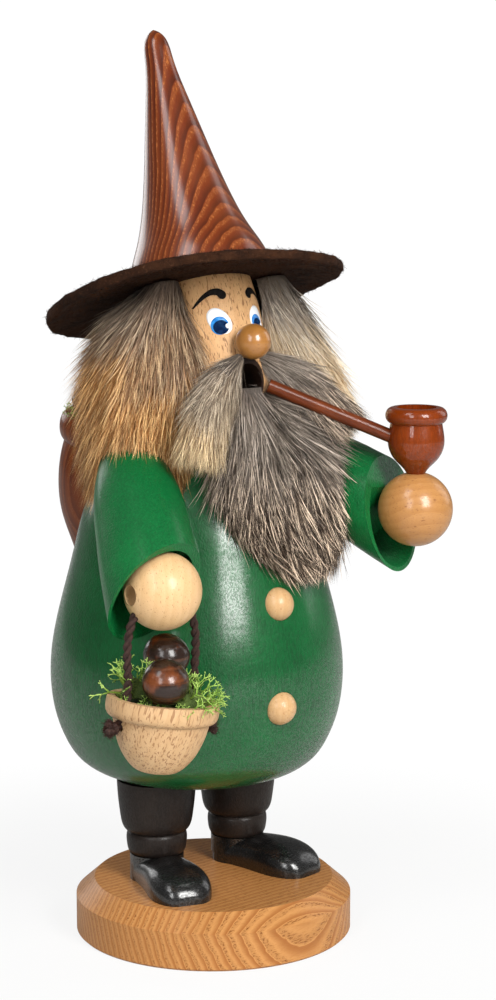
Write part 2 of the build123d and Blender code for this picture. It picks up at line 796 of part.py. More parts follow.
# Pipe: turned bowl with a shallow dish, a round stem and a dowel into the hand
with BuildPart() as pipe_bowl:
    with BuildSketch(upright(bowl_foot)):
        with BuildLine():
            belly = Spline(*scaled(bowl_profile_shares, bowl_radius, bowl_height))
            rim = Spline(*scaled(bowl_rim_shares, bowl_radius, bowl_height))
            Polyline(
                rim @ 1,
                (bowl_dish_radius, bowl_height),
                (bowl_dish_radius, bowl_height - bowl_dish_depth),
                (0, bowl_height - bowl_dish_depth),
                (0, 0),
                belly @ 0,
            )
        make_face()
    revolve(axis=bowl_axis)
    with BuildSketch(Plane(origin=stem_start - stem_way * seat_gap, z_dir=stem_way)):
        Circle(stem_radius + glue_gap)
    extrude(amount=bowl_radius, mode=Mode.SUBTRACT)
    with BuildSketch(Plane.XY.offset(bowl_foot.Z)):
        with Locations((bowl_foot.X, bowl_foot.Y)):
            Circle(pipe_dowel_radius + glue_gap)
    extrude(amount=pipe_dowel_length / 2, mode=Mode.SUBTRACT)
pipe_bowl.part.label = "pipe_bowl"
export_step(pipe_bowl.part, "parts/pipe_bowl.step")

with BuildPart() as pipe_stem:
    with BuildSketch(Plane(origin=stem_start, z_dir=stem_way)):
        Circle(stem_radius)
    extrude(amount=stem_length)
pipe_stem.part.label = "pipe_stem"
export_step(pipe_stem.part, "parts/pipe_stem.step")

with BuildPart() as pipe_dowel:
    with BuildSketch(Plane.XY.offset(bowl_foot.Z - pipe_dowel_length / 2)):
        with Locations((bowl_foot.X, bowl_foot.Y)):
            Circle(pipe_dowel_radius)
    extrude(amount=pipe_dowel_length - seat_gap)
pipe_dowel.part.label = "pipe_dowel"
export_step(pipe_dowel.part, "parts/pipe_dowel.step")

# Backpack: turned pot on the coat's back, filled with moss and one mushroom
with BuildPart() as backpack:
    with BuildSketch(pack_section):
        with BuildLine():
            pot = Spline(*scaled(pack_profile_shares, pack_radius, pack_height))
            bead = Spline(*scaled(pack_rim_shares, pack_radius, pack_height))
            Polyline(
                bead @ 1,
                (pack_hollow_radius, pack_height),
                (pack_hollow_radius, pack_height - pack_hollow_depth),
                (0, pack_height - pack_hollow_depth),
                (0, 0),
                pot @ 0,
            )
        make_face()
    revolve(axis=pack_axis)
    add(rooms["coat_glue"], mode=Mode.SUBTRACT)
    with BuildSketch(pack_dowel_plane.offset(-seat_gap)):
        Circle(pack_dowel_radius + glue_gap)
    extrude(amount=pack_dowel_length, mode=Mode.SUBTRACT)
backpack.part.label = "backpack"
export_step(backpack.part, "parts/backpack.step")

with BuildPart() as backpack_dowel:
    with BuildSketch(pack_dowel_plane):
        Circle(pack_dowel_radius)
    extrude(amount=pack_dowel_length)
backpack_dowel.part.label = "backpack_dowel"
export_step(backpack_dowel.part, "parts/backpack_dowel.step")

pack_cap_place = pack_frame.from_local_coords(Vector(pack_cap_x, 0, pack_height + pack_cap_lift))
pack_stalk_length = pack_cap_lift + pack_hollow_depth - seat_gap
with BuildPart() as backpack_mushroom:
    with BuildSketch(Plane(origin=pack_cap_place, x_dir=(1, 0, 0), z_dir=pack_frame.y_dir * -1)):
        with BuildLine():
            cap = Spline(*scaled(cap_profile_shares, pack_cap_radius, pack_cap_height))
            Polyline(
                cap @ 1,
                (0, -pack_stalk_length),
                (pack_stalk_radius, -pack_stalk_length),
                (pack_stalk_radius, 0),
                cap @ 0,
            )
        make_face()
    revolve(axis=Axis(pack_cap_place, pack_frame.z_dir))
backpack_mushroom.part.label = "backpack_mushroom"
export_step(backpack_mushroom.part, "parts/backpack_mushroom.step")

with BuildPart() as backpack_moss:
    with BuildSketch(pack_section):
        with BuildLine():
            Polyline(
                (0, pack_height + pack_moss_rise),
                (0, pack_height - pack_hollow_depth + seat_gap),
                (pack_hollow_radius - soft_gap, pack_height - pack_hollow_depth + seat_gap),
                (pack_hollow_radius - soft_gap, pack_height),
            )
            TangentArc(
                (0, pack_height + pack_moss_rise),
                (pack_hollow_radius - soft_gap, pack_height),
                tangent=(1, 0),
            )
        make_face()
    revolve(axis=pack_axis)
    with BuildSketch(Plane(origin=pack_cap_place, z_dir=pack_frame.z_dir)):
        Circle(pack_stalk_radius + soft_gap)
    extrude(amount=-pack_stalk_length - seat_gap, mode=Mode.SUBTRACT)
    with BuildSketch(Plane(origin=pack_cap_place - pack_frame.z_dir * soft_gap, z_dir=pack_frame.z_dir)):
        Circle(pack_cap_radius + soft_gap)
    extrude(amount=pack_cap_height, mode=Mode.SUBTRACT)
backpack_moss.part.label = "backpack_moss"
export_step(backpack_moss.part, "parts/backpack_moss.step")

# Basket: it hangs on a cord over the lower edge of the hole in the right hand
swing_point = Vector(*hand_places["right"]) - Vector(0, 0, hand_hole_radius - cord_radius - seat_gap)
basket_frame = Plane(
    origin=swing_point - Vector(0, 0, basket_drop),
    x_dir=(cos(radians(basket_tilt)), 0, -sin(radians(basket_tilt))),
    z_dir=(sin(radians(basket_tilt)), 0, cos(radians(basket_tilt))),
)
basket_section = Plane(origin=basket_frame.origin, x_dir=basket_frame.x_dir, z_dir=basket_frame.y_dir * -1)
basket_axis = Axis(basket_frame.origin, basket_frame.z_dir)
hollow_top = basket_radius - basket_wall
hollow_floor = hollow_top - basket_hollow_narrowing
wall_at_cord = basket_radius * cord_hole_share


def in_basket(across, out, up):
    return basket_frame.from_local_coords(Vector(across, out, up))


def below_rim(shares):
    points = scaled(shares, basket_radius, basket_height)
    return [(across, along - basket_height) for across, along in points]


with BuildPart() as basket:
    with BuildSketch(basket_section):
        with BuildLine():
            side = Spline(*below_rim(basket_profile_shares))
            band = Spline(*below_rim(basket_band_shares))
            Line(side @ 1, band @ 0)
            Polyline(
                band @ 1,
                (hollow_top, 0),
                (hollow_floor, -basket_hollow_depth),
                (0, -basket_hollow_depth),
                (0, -basket_height),
                side @ 0,
            )
        make_face()
    revolve(axis=basket_axis)
    with BuildSketch(Plane(origin=in_basket(0, 0, -cord_hole_drop), z_dir=basket_frame.x_dir)):
        Circle(cord_radius + glue_gap)
    extrude(amount=basket_radius + cut_overrun, both=True, mode=Mode.SUBTRACT)
basket.part.label = "basket"
export_step(basket.part, "parts/basket.step")

# Cord: knot, wall, up to the hand, through it and down to the other knot
cord_side = hand_radius + cord_side_gap + cord_radius
inner_wall = hollow_top - basket_hollow_narrowing * cord_hole_drop / basket_hollow_depth
cord_inside = inner_wall - cord_radius - seat_gap
knot_out = wall_at_cord + knot_radius + seat_gap
cord_points = [
    in_basket(-knot_out, 0, -cord_hole_drop),
    in_basket(-cord_inside, 0, -cord_hole_drop),
    swing_point - Vector(cord_side, 0, 0),
    swing_point + Vector(cord_side, 0, 0),
    in_basket(cord_inside, 0, -cord_hole_drop),
    in_basket(knot_out, 0, -cord_hole_drop),
]
cord_radii = [cord_wall_turn_radius, cord_turn_radius, cord_turn_radius, cord_wall_turn_radius]
cord_forms = {}
for growth in (0, soft_gap):
    with BuildPart() as cord:
        with BuildLine() as cord_route:
            FilletPolyline(*cord_points, radius=cord_radii)
        with BuildSketch(Plane(origin=cord_route.line @ 0, z_dir=cord_route.line % 0)):
            Circle(cord_radius + growth)
        sweep()
    cord_forms[growth] = cord.part
cord_length = cord_route.wires()[0].length
print("cord length", round(cord_length, 2), "radii", cord_radii)
print("cord volume", round(cord_forms[0].volume, 2), "of", round(Circle(cord_radius).area * cord_length, 2))
with BuildPart() as basket_cord:
    add(cord_forms[0])
    for knot_side in (-1, 1):
        with Locations(in_basket(knot_side * knot_out, 0, -cord_hole_drop)):
            Sphere(knot_radius)
        with Locations(in_basket(knot_side * knot_out, 0, -cord_hole_drop - knot_tail_drop)):
            Sphere(knot_tail_radius)
basket_cord.part.label = "basket_cord"
export_step(basket_cord.part, "parts/basket_cord.step")

# Mushrooms in the basket
for name, stalk_length in basket_stalk_lengths.items():
    foot = in_basket(*basket_cap_places[name])
    up = Vector(*basket_cap_ways[name]).normalized()
    side_way = up.cross(Vector(0, 1, 0))
    with BuildPart() as mushroom:
        with BuildSketch(Plane(origin=foot, x_dir=side_way, z_dir=side_way.cross(up))):
            with BuildLine():
                cap = Spline(*scaled(ball_cap_shares, basket_cap_radius, basket_cap_height))
                Polyline(
                    cap @ 1,
                    (0, -stalk_length),
                    (basket_stalk_radius, -stalk_length),
                    (basket_stalk_radius, 0),
                    cap @ 0,
                )
            make_face()
        revolve(axis=Axis(foot, up))
    mushroom.part.label = name
    export_step(mushroom.part, "parts/" + name + ".step")

with BuildPart() as basket_moss:
    with BuildSketch(basket_section):
        with BuildLine():
            Polyline(
                (0, moss_rise),
                (0, -basket_hollow_depth + seat_gap),
                (hollow_floor - soft_gap, -basket_hollow_depth + seat_gap),
                (hollow_top - soft_gap, soft_gap),
                (basket_radius - soft_gap, soft_gap),
            )
            TangentArc((0, moss_rise), (basket_radius - soft_gap, soft_gap), tangent=(1, 0))
        make_face()
    revolve(axis=basket_axis)
    for place, radius in moss_mounds.values():
        with Locations(in_basket(*place)):
            Sphere(radius)
    with BuildSketch(Plane(origin=in_basket(0, 0, soft_gap), z_dir=basket_frame.z_dir)):
        Circle(basket_radius * 2)
        Circle(hollow_top - soft_gap * 3, mode=Mode.SUBTRACT)
    extrude(amount=-basket_height, mode=Mode.SUBTRACT)
    add(cord_forms[soft_gap], mode=Mode.SUBTRACT)
    for name, stalk_length in basket_stalk_lengths.items():
        foot = Plane(origin=in_basket(*basket_cap_places[name]), z_dir=Vector(*basket_cap_ways[name]))
        with BuildSketch(foot):
            Circle(basket_stalk_radius + soft_gap)
        extrude(amount=-stalk_length - soft_gap, mode=Mode.SUBTRACT)
        with BuildSketch(foot.offset(-soft_gap)):
            Circle(basket_cap_radius + soft_gap)
        extrude(amount=basket_cap_height + cut_overrun, mode=Mode.SUBTRACT)
basket_moss.part.label = "basket_moss"
export_step(basket_moss.part, "parts/basket_moss.step")

# Fur rooms: what the hair, beard and moustaches keep clear of
fur_rooms = []
for name in leg_sides:
    length = arm_lengths[name] + sleeve_top + soft_gap
    with BuildPart() as arm_room:
        with BuildSketch(arm_section(name)):
            with BuildLine():
                arm = Spline(
                    *scaled(sleeve_profile_shares, sleeve_radius + soft_gap, length),
                    tangents=[(1, 0), (0, -1)],
                    tangent_scalars=end_weights,
                )
                Polyline(arm @ 1, (0, (arm @ 1).Y), arm @ 0)
            make_face()
        revolve(axis=Axis(arm_frames[name].origin, arm_frames[name].z_dir))
    fur_rooms.append(arm_room.part)
fur_rooms.append(rooms["coat_soft"])
with BuildPart() as head_room:
    with BuildSketch(head_level(head_length + head_tenon)):
        Circle(head_radius + soft_gap)
    extrude(amount=head_length + head_tenon)
fur_rooms.append(head_room.part)
with BuildPart() as brim_room:
    with BuildSketch(brim_section):
        with BuildLine():
            under = Spline(*brim_line(-soft_gap), tangents=brim_ways, tangent_scalars=end_weights)
            Polyline(
                under @ 1,
                (brim_radius * 2, (under @ 1).Y),
                (brim_radius * 2, crown_height),
                (0, crown_height),
                (0, -soft_gap),
                under @ 0,
            )
        make_face()
    revolve(axis=brim_axis)
fur_rooms.append(brim_room.part)
with BuildPart() as mouth_room:
    with BuildSketch(Plane(origin=on_head(0, 0, mouth_drop), x_dir=(1, 0, 0), z_dir=head_frame.y_dir * -1)):
        Circle(mouth_radius)
    extrude(amount=beard_half_depth * 2 + head_radius)
fur_rooms.append(mouth_room.part)
ball_rooms = [(on_head(0, nose_centre, nose_drop), nose_radius), (Vector(*hand_places["left"]), hand_radius)]
for place, radius in ball_rooms:
    with BuildPart() as ball_room:
        with Locations(place):
            Sphere(radius + soft_gap)
    fur_rooms.append(ball_room.part)
rod_rooms = [
    (Plane(origin=stem_start, z_dir=stem_way), stem_radius, stem_length + soft_gap),
    (Plane(origin=bowl_foot, z_dir=(0, 0, 1)), bowl_radius, bowl_height * 2),
    (Plane(origin=pack_frame.origin, z_dir=pack_frame.z_dir), pack_radius,
     pack_height + pack_cap_lift + pack_cap_height + soft_gap),
]
rod_rooms += [(seat, button_radius, button_height + soft_gap) for seat in button_seats.values()]
rod_rooms += [
    (shoulder_peg_plane(name).offset(-soft_gap), shoulder_dowel_radius, shoulder_dowel_length + soft_gap * 2)
    for name in leg_sides
]
for plane, radius, length in rod_rooms:
    with BuildPart() as rod_room:
        with BuildSketch(plane):
            Circle(radius + soft_gap)
        extrude(amount=length)
    fur_rooms.append(rod_room.part)
# Moustaches: tapering locks from under the nose
for name, stations in moustache_sections.items():
    with BuildPart() as moustache:
        for index, (place, radius) in enumerate(stations):
            after = Vector(*stations[min(index + 1, len(stations) - 1)][0])
            before = Vector(*stations[max(index - 1, 0)][0])
            way = after - before
            with BuildSketch(Plane(origin=place, x_dir=way.cross(Vector(0, -1, 0)), z_dir=way)):
                Ellipse(radius, radius * moustache_flatness_share)
        loft()
        for room in fur_rooms:
            add(room, mode=Mode.SUBTRACT)
    moustache.part.label = "moustache_" + name
    fur_rooms.append(moustache.part)
    export_step(moustache.part, "parts/moustache_" + name + ".step")

# Hair: round the head at the sides and back, open at the face
window_reach = hair_half_width * 2
window_y = -window_reach * cos(radians(face_half_angle))
with BuildPart() as hair:
    for size_share, shift_share, along_share in hair_section_shares:
        with BuildSketch(Plane.XY.offset(hair_top - hair_drop * along_share)):
            with Locations((hair_shift * shift_share, hair_y)):
                Ellipse(hair_half_width * size_share, hair_half_depth * size_share)
    loft()
    with BuildSketch(Plane.XY):
        with BuildLine():
            Polyline(
                (0, 0),
                (window_reach * sin(radians(face_half_angle)), window_y),
                (0, -window_reach * 2),
                (-window_reach * sin(radians(face_half_angle)), window_y),
                close=True,
            )
        make_face()
    extrude(amount=hair_top * 2, mode=Mode.SUBTRACT)
    for room in fur_rooms:
        add(room, mode=Mode.SUBTRACT)
hair.part.label = "hair"
fur_rooms.append(hair.part)
export_step(hair.part, "parts/hair.step")

# Beard: one wide lock on the coat's front, under the moustaches
with BuildPart() as beard:
    for width_share, depth_share, shift_share, along_share in beard_section_shares:
        with BuildSketch(Plane.XY.offset(beard_top - beard_length * along_share)):
            with Locations((beard_half_width * shift_share, beard_y - beard_lean * along_share)):
                Ellipse(beard_half_width * width_share, beard_half_depth * depth_share)
    loft()
    for room in fur_rooms:
        add(room, mode=Mode.SUBTRACT)
beard.part.label = "beard"
export_step(beard.part, "parts/beard.step")
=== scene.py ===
import bpy
import bmesh
import math
import random
import numpy as np
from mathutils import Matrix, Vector, noise


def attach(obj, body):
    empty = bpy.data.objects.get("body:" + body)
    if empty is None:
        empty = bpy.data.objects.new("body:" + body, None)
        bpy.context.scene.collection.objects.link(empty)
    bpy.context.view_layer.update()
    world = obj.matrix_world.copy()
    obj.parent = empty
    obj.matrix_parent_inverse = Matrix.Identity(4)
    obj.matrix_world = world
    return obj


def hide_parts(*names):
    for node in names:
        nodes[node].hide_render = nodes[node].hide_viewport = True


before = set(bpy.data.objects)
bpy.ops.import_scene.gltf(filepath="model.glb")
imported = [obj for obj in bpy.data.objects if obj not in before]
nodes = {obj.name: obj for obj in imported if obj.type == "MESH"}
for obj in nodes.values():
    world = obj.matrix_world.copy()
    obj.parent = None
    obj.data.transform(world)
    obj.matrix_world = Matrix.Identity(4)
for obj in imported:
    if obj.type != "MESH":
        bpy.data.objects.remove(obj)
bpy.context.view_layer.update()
scene = bpy.context.scene
MM = 0.001
UP = (0, 0, 1)
noise.seed_set(3)  # without a seed, the noise would differ in each run
plenty = 1.0  # share of the strands that are grown

# Sizes and places in millimetres, in the shared frame
head_tilt = math.radians(19.3)
head_place = np.array([0, 4.5, 181.0])
head_up = np.array([0, math.sin(head_tilt), math.cos(head_tilt)])
head_back = np.array([0, math.cos(head_tilt), -math.sin(head_tilt)])
head_side = np.array([1.0, 0, 0])
face_radius = 14.1
mouth_place = head_place - head_back * 13.3 - head_up * 29.6
mouth_high, mouth_wide = 0.76, 0.86  # the mouth is an oval: these bring it to a circle
brim_radius, brim_thickness = 41.0, 2.6
brim_flat, brim_droop = 23.0, 3.0
brim_shift = (-2.1, 1.5)
hand_right_place = np.array([-39.2, -34.8, 106.9])
hand_left_place = np.array([39.2, -40.5, 121.6])
stem_ends = (np.array([5.2, -19.2, 155.6]), np.array([39.2, -40.5, 138.7]))
pack_place = np.array([-2.6, 54.6, 97])
pack_up = np.array([0, -math.sin(math.radians(8)), math.cos(math.radians(8))])
basket_tilt = math.radians(7)
basket_place = np.array([-39.2, -34.8, 78.45])
basket_x = np.array([math.cos(basket_tilt), 0, -math.sin(basket_tilt)])
basket_y = np.array([0, 1.0, 0])
basket_z = np.array([math.sin(basket_tilt), 0, math.cos(basket_tilt)])
swing_place = np.array([-39.2, -34.8, 105.45])
knot_out, cord_inside, cord_drop, cord_spread = 15.106, 9.2365, 7.2, 11.6


def unit(way):
    way = np.asarray(way, float)
    return way / np.linalg.norm(way)


def units(ways):
    """Each row brought to length 1."""
    return ways / np.linalg.norm(ways, axis=1)[:, None]


def turned(side, other, turn):
    """The way at an angle between two ways that are square to each other."""
    return side * math.cos(turn) + other * math.sin(turn)


def read_line(shares, marks, line):
    """Places on a line of points, each point standing at its mark."""
    return np.stack([np.interp(shares, marks, line[:, k]) for k in range(line.shape[1])], -1)


# ---- node trees
class Value:
    """One output of the tree being built, with ordinary arithmetic."""

    def __init__(self, tree, out):
        self.tree, self.out = tree, out

    def math(self, kind, *rest, clamp=False):
        return make(self.tree, "ShaderNodeMath", (self, *rest), operation=kind, use_clamp=clamp)

    def __rsub__(self, other):
        return self * -1 + other

    def fraction(self):
        return self.math("FRACT")

    def root(self):
        return self.math("SQRT")

    def clamp(self):
        return self.math("ADD", 0, clamp=True)

    def step(self, low, high):
        """0 below low, 1 above high, smooth between."""
        return make(self.tree, "ShaderNodeMapRange", (self, low, high, 0.0, 1.0), interpolation_type="SMOOTHSTEP")


for sign, operation in (
    ("add", "ADD"), ("radd", "ADD"), ("sub", "SUBTRACT"), ("mul", "MULTIPLY"), ("rmul", "MULTIPLY"),
    ("truediv", "DIVIDE"), ("pow", "POWER"),
):
    setattr(Value, f"__{sign}__", lambda self, other, kind=operation: self.math(kind, other))


def feed(tree, socket, value):
    """Gives an input a value, or links another node's output to it."""
    if isinstance(value, Value):
        tree.links.new(value.out, socket)
    elif socket.type == "RGBA" and len(value) == 3:
        socket.default_value = (*value, 1)
    else:
        socket.default_value = value


def make(tree, kind, values=(), out=0, **settings):
    """A new node's output. Values go to its inputs, in order or by name or number."""
    node = tree.nodes.new(kind)
    for name, setting in settings.items():
        setattr(node, name, setting)
    for key, value in values.items() if isinstance(values, dict) else enumerate(values):
        feed(tree, node.inputs[key], value)
    return Value(tree, node.outputs[out])


def end(tree, kind, value):
    """Closes a tree with its output node."""
    feed(tree, tree.nodes.new(kind).inputs[0], value)


# ---- finishes
class Finish:
    """A procedural material: calls for its nodes, ended by done()."""

    def __init__(self, name):
        self.material = bpy.data.materials.new(name)
        self.material.use_nodes = True
        self.tree = self.material.node_tree
        self.tree.nodes.clear()
        self.place = self.node("ShaderNodeTexCoord", (), "Object")

    def node(self, kind, values=(), out=0, **settings):
        return make(self.tree, kind, values, out, **settings)

    def attribute(self, name):
        return self.node("ShaderNodeAttribute", (), "Fac", attribute_name=name)

    def along(self, way, place=(0, 0, 0)):
        """Distance in mm from place along way."""
        way = unit(way)
        far = self.node("ShaderNodeVectorMath", (self.place, tuple(way * 1000)), "Value", operation="DOT_PRODUCT")
        return far - float(np.dot(way, place))

    def local(self, place, x_way, z_way):
        z_way = unit(z_way)
        x_way = unit(np.asarray(x_way, float) - z_way * np.dot(x_way, z_way))
        return [self.along(way, place) for way in (x_way, np.cross(z_way, x_way), z_way)]

    def join(self, x, y, z):
        return self.node("ShaderNodeCombineXYZ", (x, y, z))

    def noise(self, place, scale, detail=2.0, rough=0.5, bend=0.0):
        given = {"Vector": place, "Scale": scale, "Detail": detail, "Roughness": rough, "Distortion": bend}
        return self.node("ShaderNodeTexNoise", given, "Fac")

    def mix(self, share, first, second, kind="MIX"):
        return self.node("ShaderNodeMix", {0: share, 6: first, 7: second}, 2, data_type="RGBA", blend_type=kind)

    def bump(self, height, depth):
        return self.node("ShaderNodeBump", {"Height": height, "Distance": depth})

    def surface(self, colour, rough, normal=None, **constants):
        given = {"Base Color": colour, "Roughness": rough}
        given.update((name.replace("_", " "), value) for name, value in constants.items())
        if normal is not None:
            given["Normal"] = normal
        return self.node("ShaderNodeBsdfPrincipled", given)

    def done(self, colour, rough, normal=None, **constants):
        end(self.tree, "ShaderNodeOutputMaterial", self.surface(colour, rough, normal, **constants))
        return self.material


def ring_wood(
    name, place, x_way, z_way, pith, spacing, dark, mid, light, rough, coat, coat_rough, pores, wave, depth=0.04
):
    """Ash cut from a log whose middle is at pith, beside the piece: rings with a porous early band."""
    f = Finish(name)
    x, y, z = f.local(place, x_way, z_way)
    slow = f.noise(f.join(x, y, z * 0.25), 0.06, 2) - 0.5
    quick = f.noise(f.join(x, y, z * 0.12), 0.35, 2) - 0.5
    far = ((x - pith[0]) ** 2 + (y - pith[1]) ** 2).root()
    rings = (far + slow * wave * spacing * 2 + quick * 0.35 * spacing) / spacing
    phase = rings.fraction()
    early = (phase.step(0.0, 0.08) * (1 - phase.step(0.22, 0.5))).clamp()
    late = phase.step(0.45, 0.95) * (1 - phase.step(0.97, 1.0))
    fibre = f.noise(f.join(x * 5, y * 5, z * 0.35), 1.0, 3, 0.6)
    holes = f.noise(f.join(x * 3.2, y * 3.2, z * 0.55), 1.0, 2, 0.6)
    strokes = holes.step(0.52, 0.62)
    patch = f.noise(f.place, 60.0, 2)
    base = f.mix((late * 0.8 + fibre * 0.35 - 0.1).clamp(), mid, dark)
    base = f.mix((early * (0.25 + strokes * pores)).clamp(), base, light)
    base = f.mix((strokes * (1 - early) * 0.18).clamp(), base, dark)
    base = f.mix((patch.step(0.3, 0.7) * 0.22).clamp(), base, f.mix(0.5, mid, light))
    height = fibre * 0.5 - early * strokes * 0.8
    return f.done(
        base, rough + (fibre - 0.5) * 0.2, f.bump(height, depth * MM), Coat_Weight=coat, Coat_Roughness=coat_rough,
        Specular_IOR_Level=0.12,
    )


def beech(
    name, place, x_way, z_way, pale, warm, fleck, rough, coat, density, ring=3.0, length=0.42, size=1.0, hole=None
):
    """Beech: faint rings, and short dark flecks along the grain; a hole gets painted shade inside."""
    f = Finish(name)
    x, y, z = f.local(place, x_way, z_way)
    slow = f.noise(f.join(x, y, z * 0.3), 0.08, 2) - 0.5
    far = ((x - 47.0) ** 2 + (y + 19.0) ** 2).root()
    phase = ((far + slow * 5) / ring).fraction()
    band = phase.step(0.1, 0.9) * (1 - phase.step(0.93, 1.0))
    fibre = f.noise(f.join(x * 4.5, y * 4.5, z * 0.4), 1.0, 3, 0.6)
    dash = f.noise(f.join(x * 1.9 * size, y * 1.9 * size, z * length), 1.35, 1.5)
    marks = dash.step(0.70 - density * 0.12, 0.76 - density * 0.12)
    fine = f.noise(f.join(x * 3.4 * size, y * 3.4 * size, z * length * 2.6), 1.6, 1.5).step(0.60, 0.70)
    base = f.mix((band * 0.28 + fibre * 0.7 - 0.1).clamp(), pale, warm)
    base = f.mix(fine * 0.30, base, fleck)
    base = f.mix(marks * 0.72, base, fleck)
    tint = f.noise(f.place, 45.0, 2).step(0.35, 0.7)
    base = f.mix(tint * 0.25, base, warm)
    height = fibre * 0.4 - marks * 0.7
    if hole:
        place, way, radius = hole
        up, side = [f.along(w, place) for w in (np.cross(way, head_side), head_side)]
        out = ((up * mouth_high) ** 2 + (side * mouth_wide) ** 2).root()
        # painted shade: the inside of the mouth hole is coloured near black where shade falls
        soot_and_shade = (1 - out.step(radius + 0.05, radius + 0.25)) * (1 - f.along(way, place).step(0.9, 1.4))
        base = f.mix(soot_and_shade, base, f.mix(fibre, (0.008, 0.004, 0.002), (0.028, 0.011, 0.006)))
    return f.done(
        base, rough + (fibre - 0.5) * 0.2, f.bump(height, 0.03 * MM), Coat_Weight=coat, Coat_Roughness=0.16,
        Specular_IOR_Level=0.3,
    )


def stained(
    name, place, x_way, z_way, dark, mid, light, rough, coat, speckle, coat_rough, streak=1.0, lacquer=1.5
):
    """A colour stain under clear lacquer, the grain just showing."""
    f = Finish(name)
    x, y, z = f.local(place, x_way, z_way)
    fibre = f.noise(f.join(x * 2.2, y * 2.2, z * 0.22), 1.0, 3, 0.6)
    fine = f.noise(f.join(x * 5.5, y * 5.5, z * 0.5), 1.0, 2, 0.6)
    cloud = f.noise(f.place, 35.0, 3, 0.55)
    dots = f.noise(f.join(x, y, z * 0.6), 2.4, 1.0)
    base = f.mix((fibre.step(0.3, 0.72) * 0.7 * streak).clamp(), mid, dark)
    base = f.mix((cloud.step(0.4, 0.75) * 0.4).clamp(), base, light)
    base = f.mix((fine.step(0.56, 0.72) * 0.35).clamp(), base, dark)
    height = dots * speckle + fine * 0.3 * speckle
    gloss = (0.52 + dots.step(0.42, 0.58) * 0.48) * coat
    return f.done(
        base, rough + (cloud - 0.5) * 0.15, f.bump(height, 0.6 * MM), Coat_Weight=gloss, Coat_Roughness=coat_rough,
        Specular_IOR_Level=0.12, Coat_IOR=lacquer,
    )


def cap_finish():
    """Mushroom cap: dark brown with orange-brown patches, under thick lacquer."""
    f = Finish("cap_lacquer")
    cloud = f.noise(f.place, 260.0, 3, 0.6)
    side = f.along(UP)
    patch = f.noise(f.place, 110.0, 2) + (cloud - 0.5) * 0.4
    band = f.noise(f.join(side, side * 0.2, patch), 2.0, 2)
    base = f.mix(patch.step(0.50, 0.68), (0.016, 0.006, 0.003), (0.13, 0.032, 0.007))
    base = f.mix((band.step(0.5, 0.8) * 0.3).clamp(), base, (0.22, 0.07, 0.018))
    return f.done(base, 0.4, f.bump(cloud, 0.9 * MM), Coat_Weight=0.7, Coat_Roughness=0.18, Specular_IOR_Level=0.2)


def steel_finish(name, colour, rough):
    f = Finish(name)
    brushed = f.noise(f.place, 900.0, 2)
    soot_and_shade = f.noise(f.place, 160.0, 3)
    base = f.mix(soot_and_shade.step(0.4, 0.7), colour, tuple(c * 0.5 for c in colour))
    return f.done(base, rough + (brushed - 0.5) * 0.3, f.bump(brushed, 0.02 * MM), Metallic=1.0)


def paint_finish(name, colour, second, rough=0.3, shine=0.15):
    """Brushed-on lacquer paint for the eyes and brows."""
    f = Finish(name)
    stroke = f.noise(f.place, 700.0, 2)
    base = f.mix(stroke.step(0.35, 0.75), colour, second)
    return f.done(
        base, rough + (stroke - 0.5) * 0.2, f.bump(stroke, 0.02 * MM), Coat_Weight=shine, Coat_Roughness=0.15,
        Specular_IOR_Level=shine,
    )


def felt_finish():
    """Felt: clouds, short threads and some longer ones that lie mostly one way."""
    f = Finish("brown_felt")
    cloud = f.noise(f.place, 130.0, 4, 0.65)
    thread = f.noise(f.place, 900.0, 3, 0.7, 1.5)
    lie = f.join(f.along((1, 0.3, 0)) * 0.25, f.along((-0.3, 1, 0)) * 1.6, f.along(UP) * 1.6)
    long = f.noise(lie, 1.0, 3, 0.7, 1.0)
    base = f.mix(cloud.step(0.3, 0.75), (0.012, 0.0042, 0.0016), (0.042, 0.015, 0.0055))
    base = f.mix((long.step(0.54, 0.70) * 0.7).clamp(), base, (0.060, 0.022, 0.010))
    base = f.mix((thread.step(0.58, 0.72) * 0.5).clamp(), base, (0.10, 0.045, 0.022))
    return f.done(base, 0.95, f.bump(thread * 0.6 + long * 0.8, 0.5 * MM), Specular_IOR_Level=0.15)


def strand_finish(name, roots, middles, tips, rough=0.6, gloss=0.3, tip_start=0.45, contrast=0.55, pale=1.2):
    """Fur, moss or fibre strands: colour runs from root to tip, between two kinds, with each strand's own shade."""
    f = Finish(name)
    along, tone, shade = [f.attribute(label) for label in ("along", "tone", "shade")]
    low, middle, high = [f.mix(tone, *pair) for pair in (roots, middles, tips)]
    clump = f.noise(f.place, 420.0, 2)
    base = f.mix(along.step(0.0, 0.5), low, middle)
    tipped = (along + (shade - 0.5) * 0.5 + (clump - 0.5) * 0.5).step(tip_start, tip_start + 0.5)
    base = f.mix(tipped * shade.step(0.9 - pale, 1.1 - pale), base, high)
    dark = (1.15 - contrast + shade * contrast + (clump - 0.5) * 0.5).clamp()
    base = f.mix(1.0, base, f.join(dark, dark, dark), "MULTIPLY")
    return f.done(base, rough, None, Specular_IOR_Level=gloss)


def flat_finish(name, first, second, scale, rough, depth):
    """Cloudy matt colour with a fine tooth, for moss beds and cord cores."""
    f = Finish(name)
    cloud = f.noise(f.place, scale, 3, 0.6)
    tooth = f.noise(f.place, scale * 6, 2, 0.6)
    base = f.mix((cloud.step(0.3, 0.7) * 0.7 + tooth * 0.3).clamp(), first, second)
    return f.done(base, rough, f.bump(tooth, depth * MM))


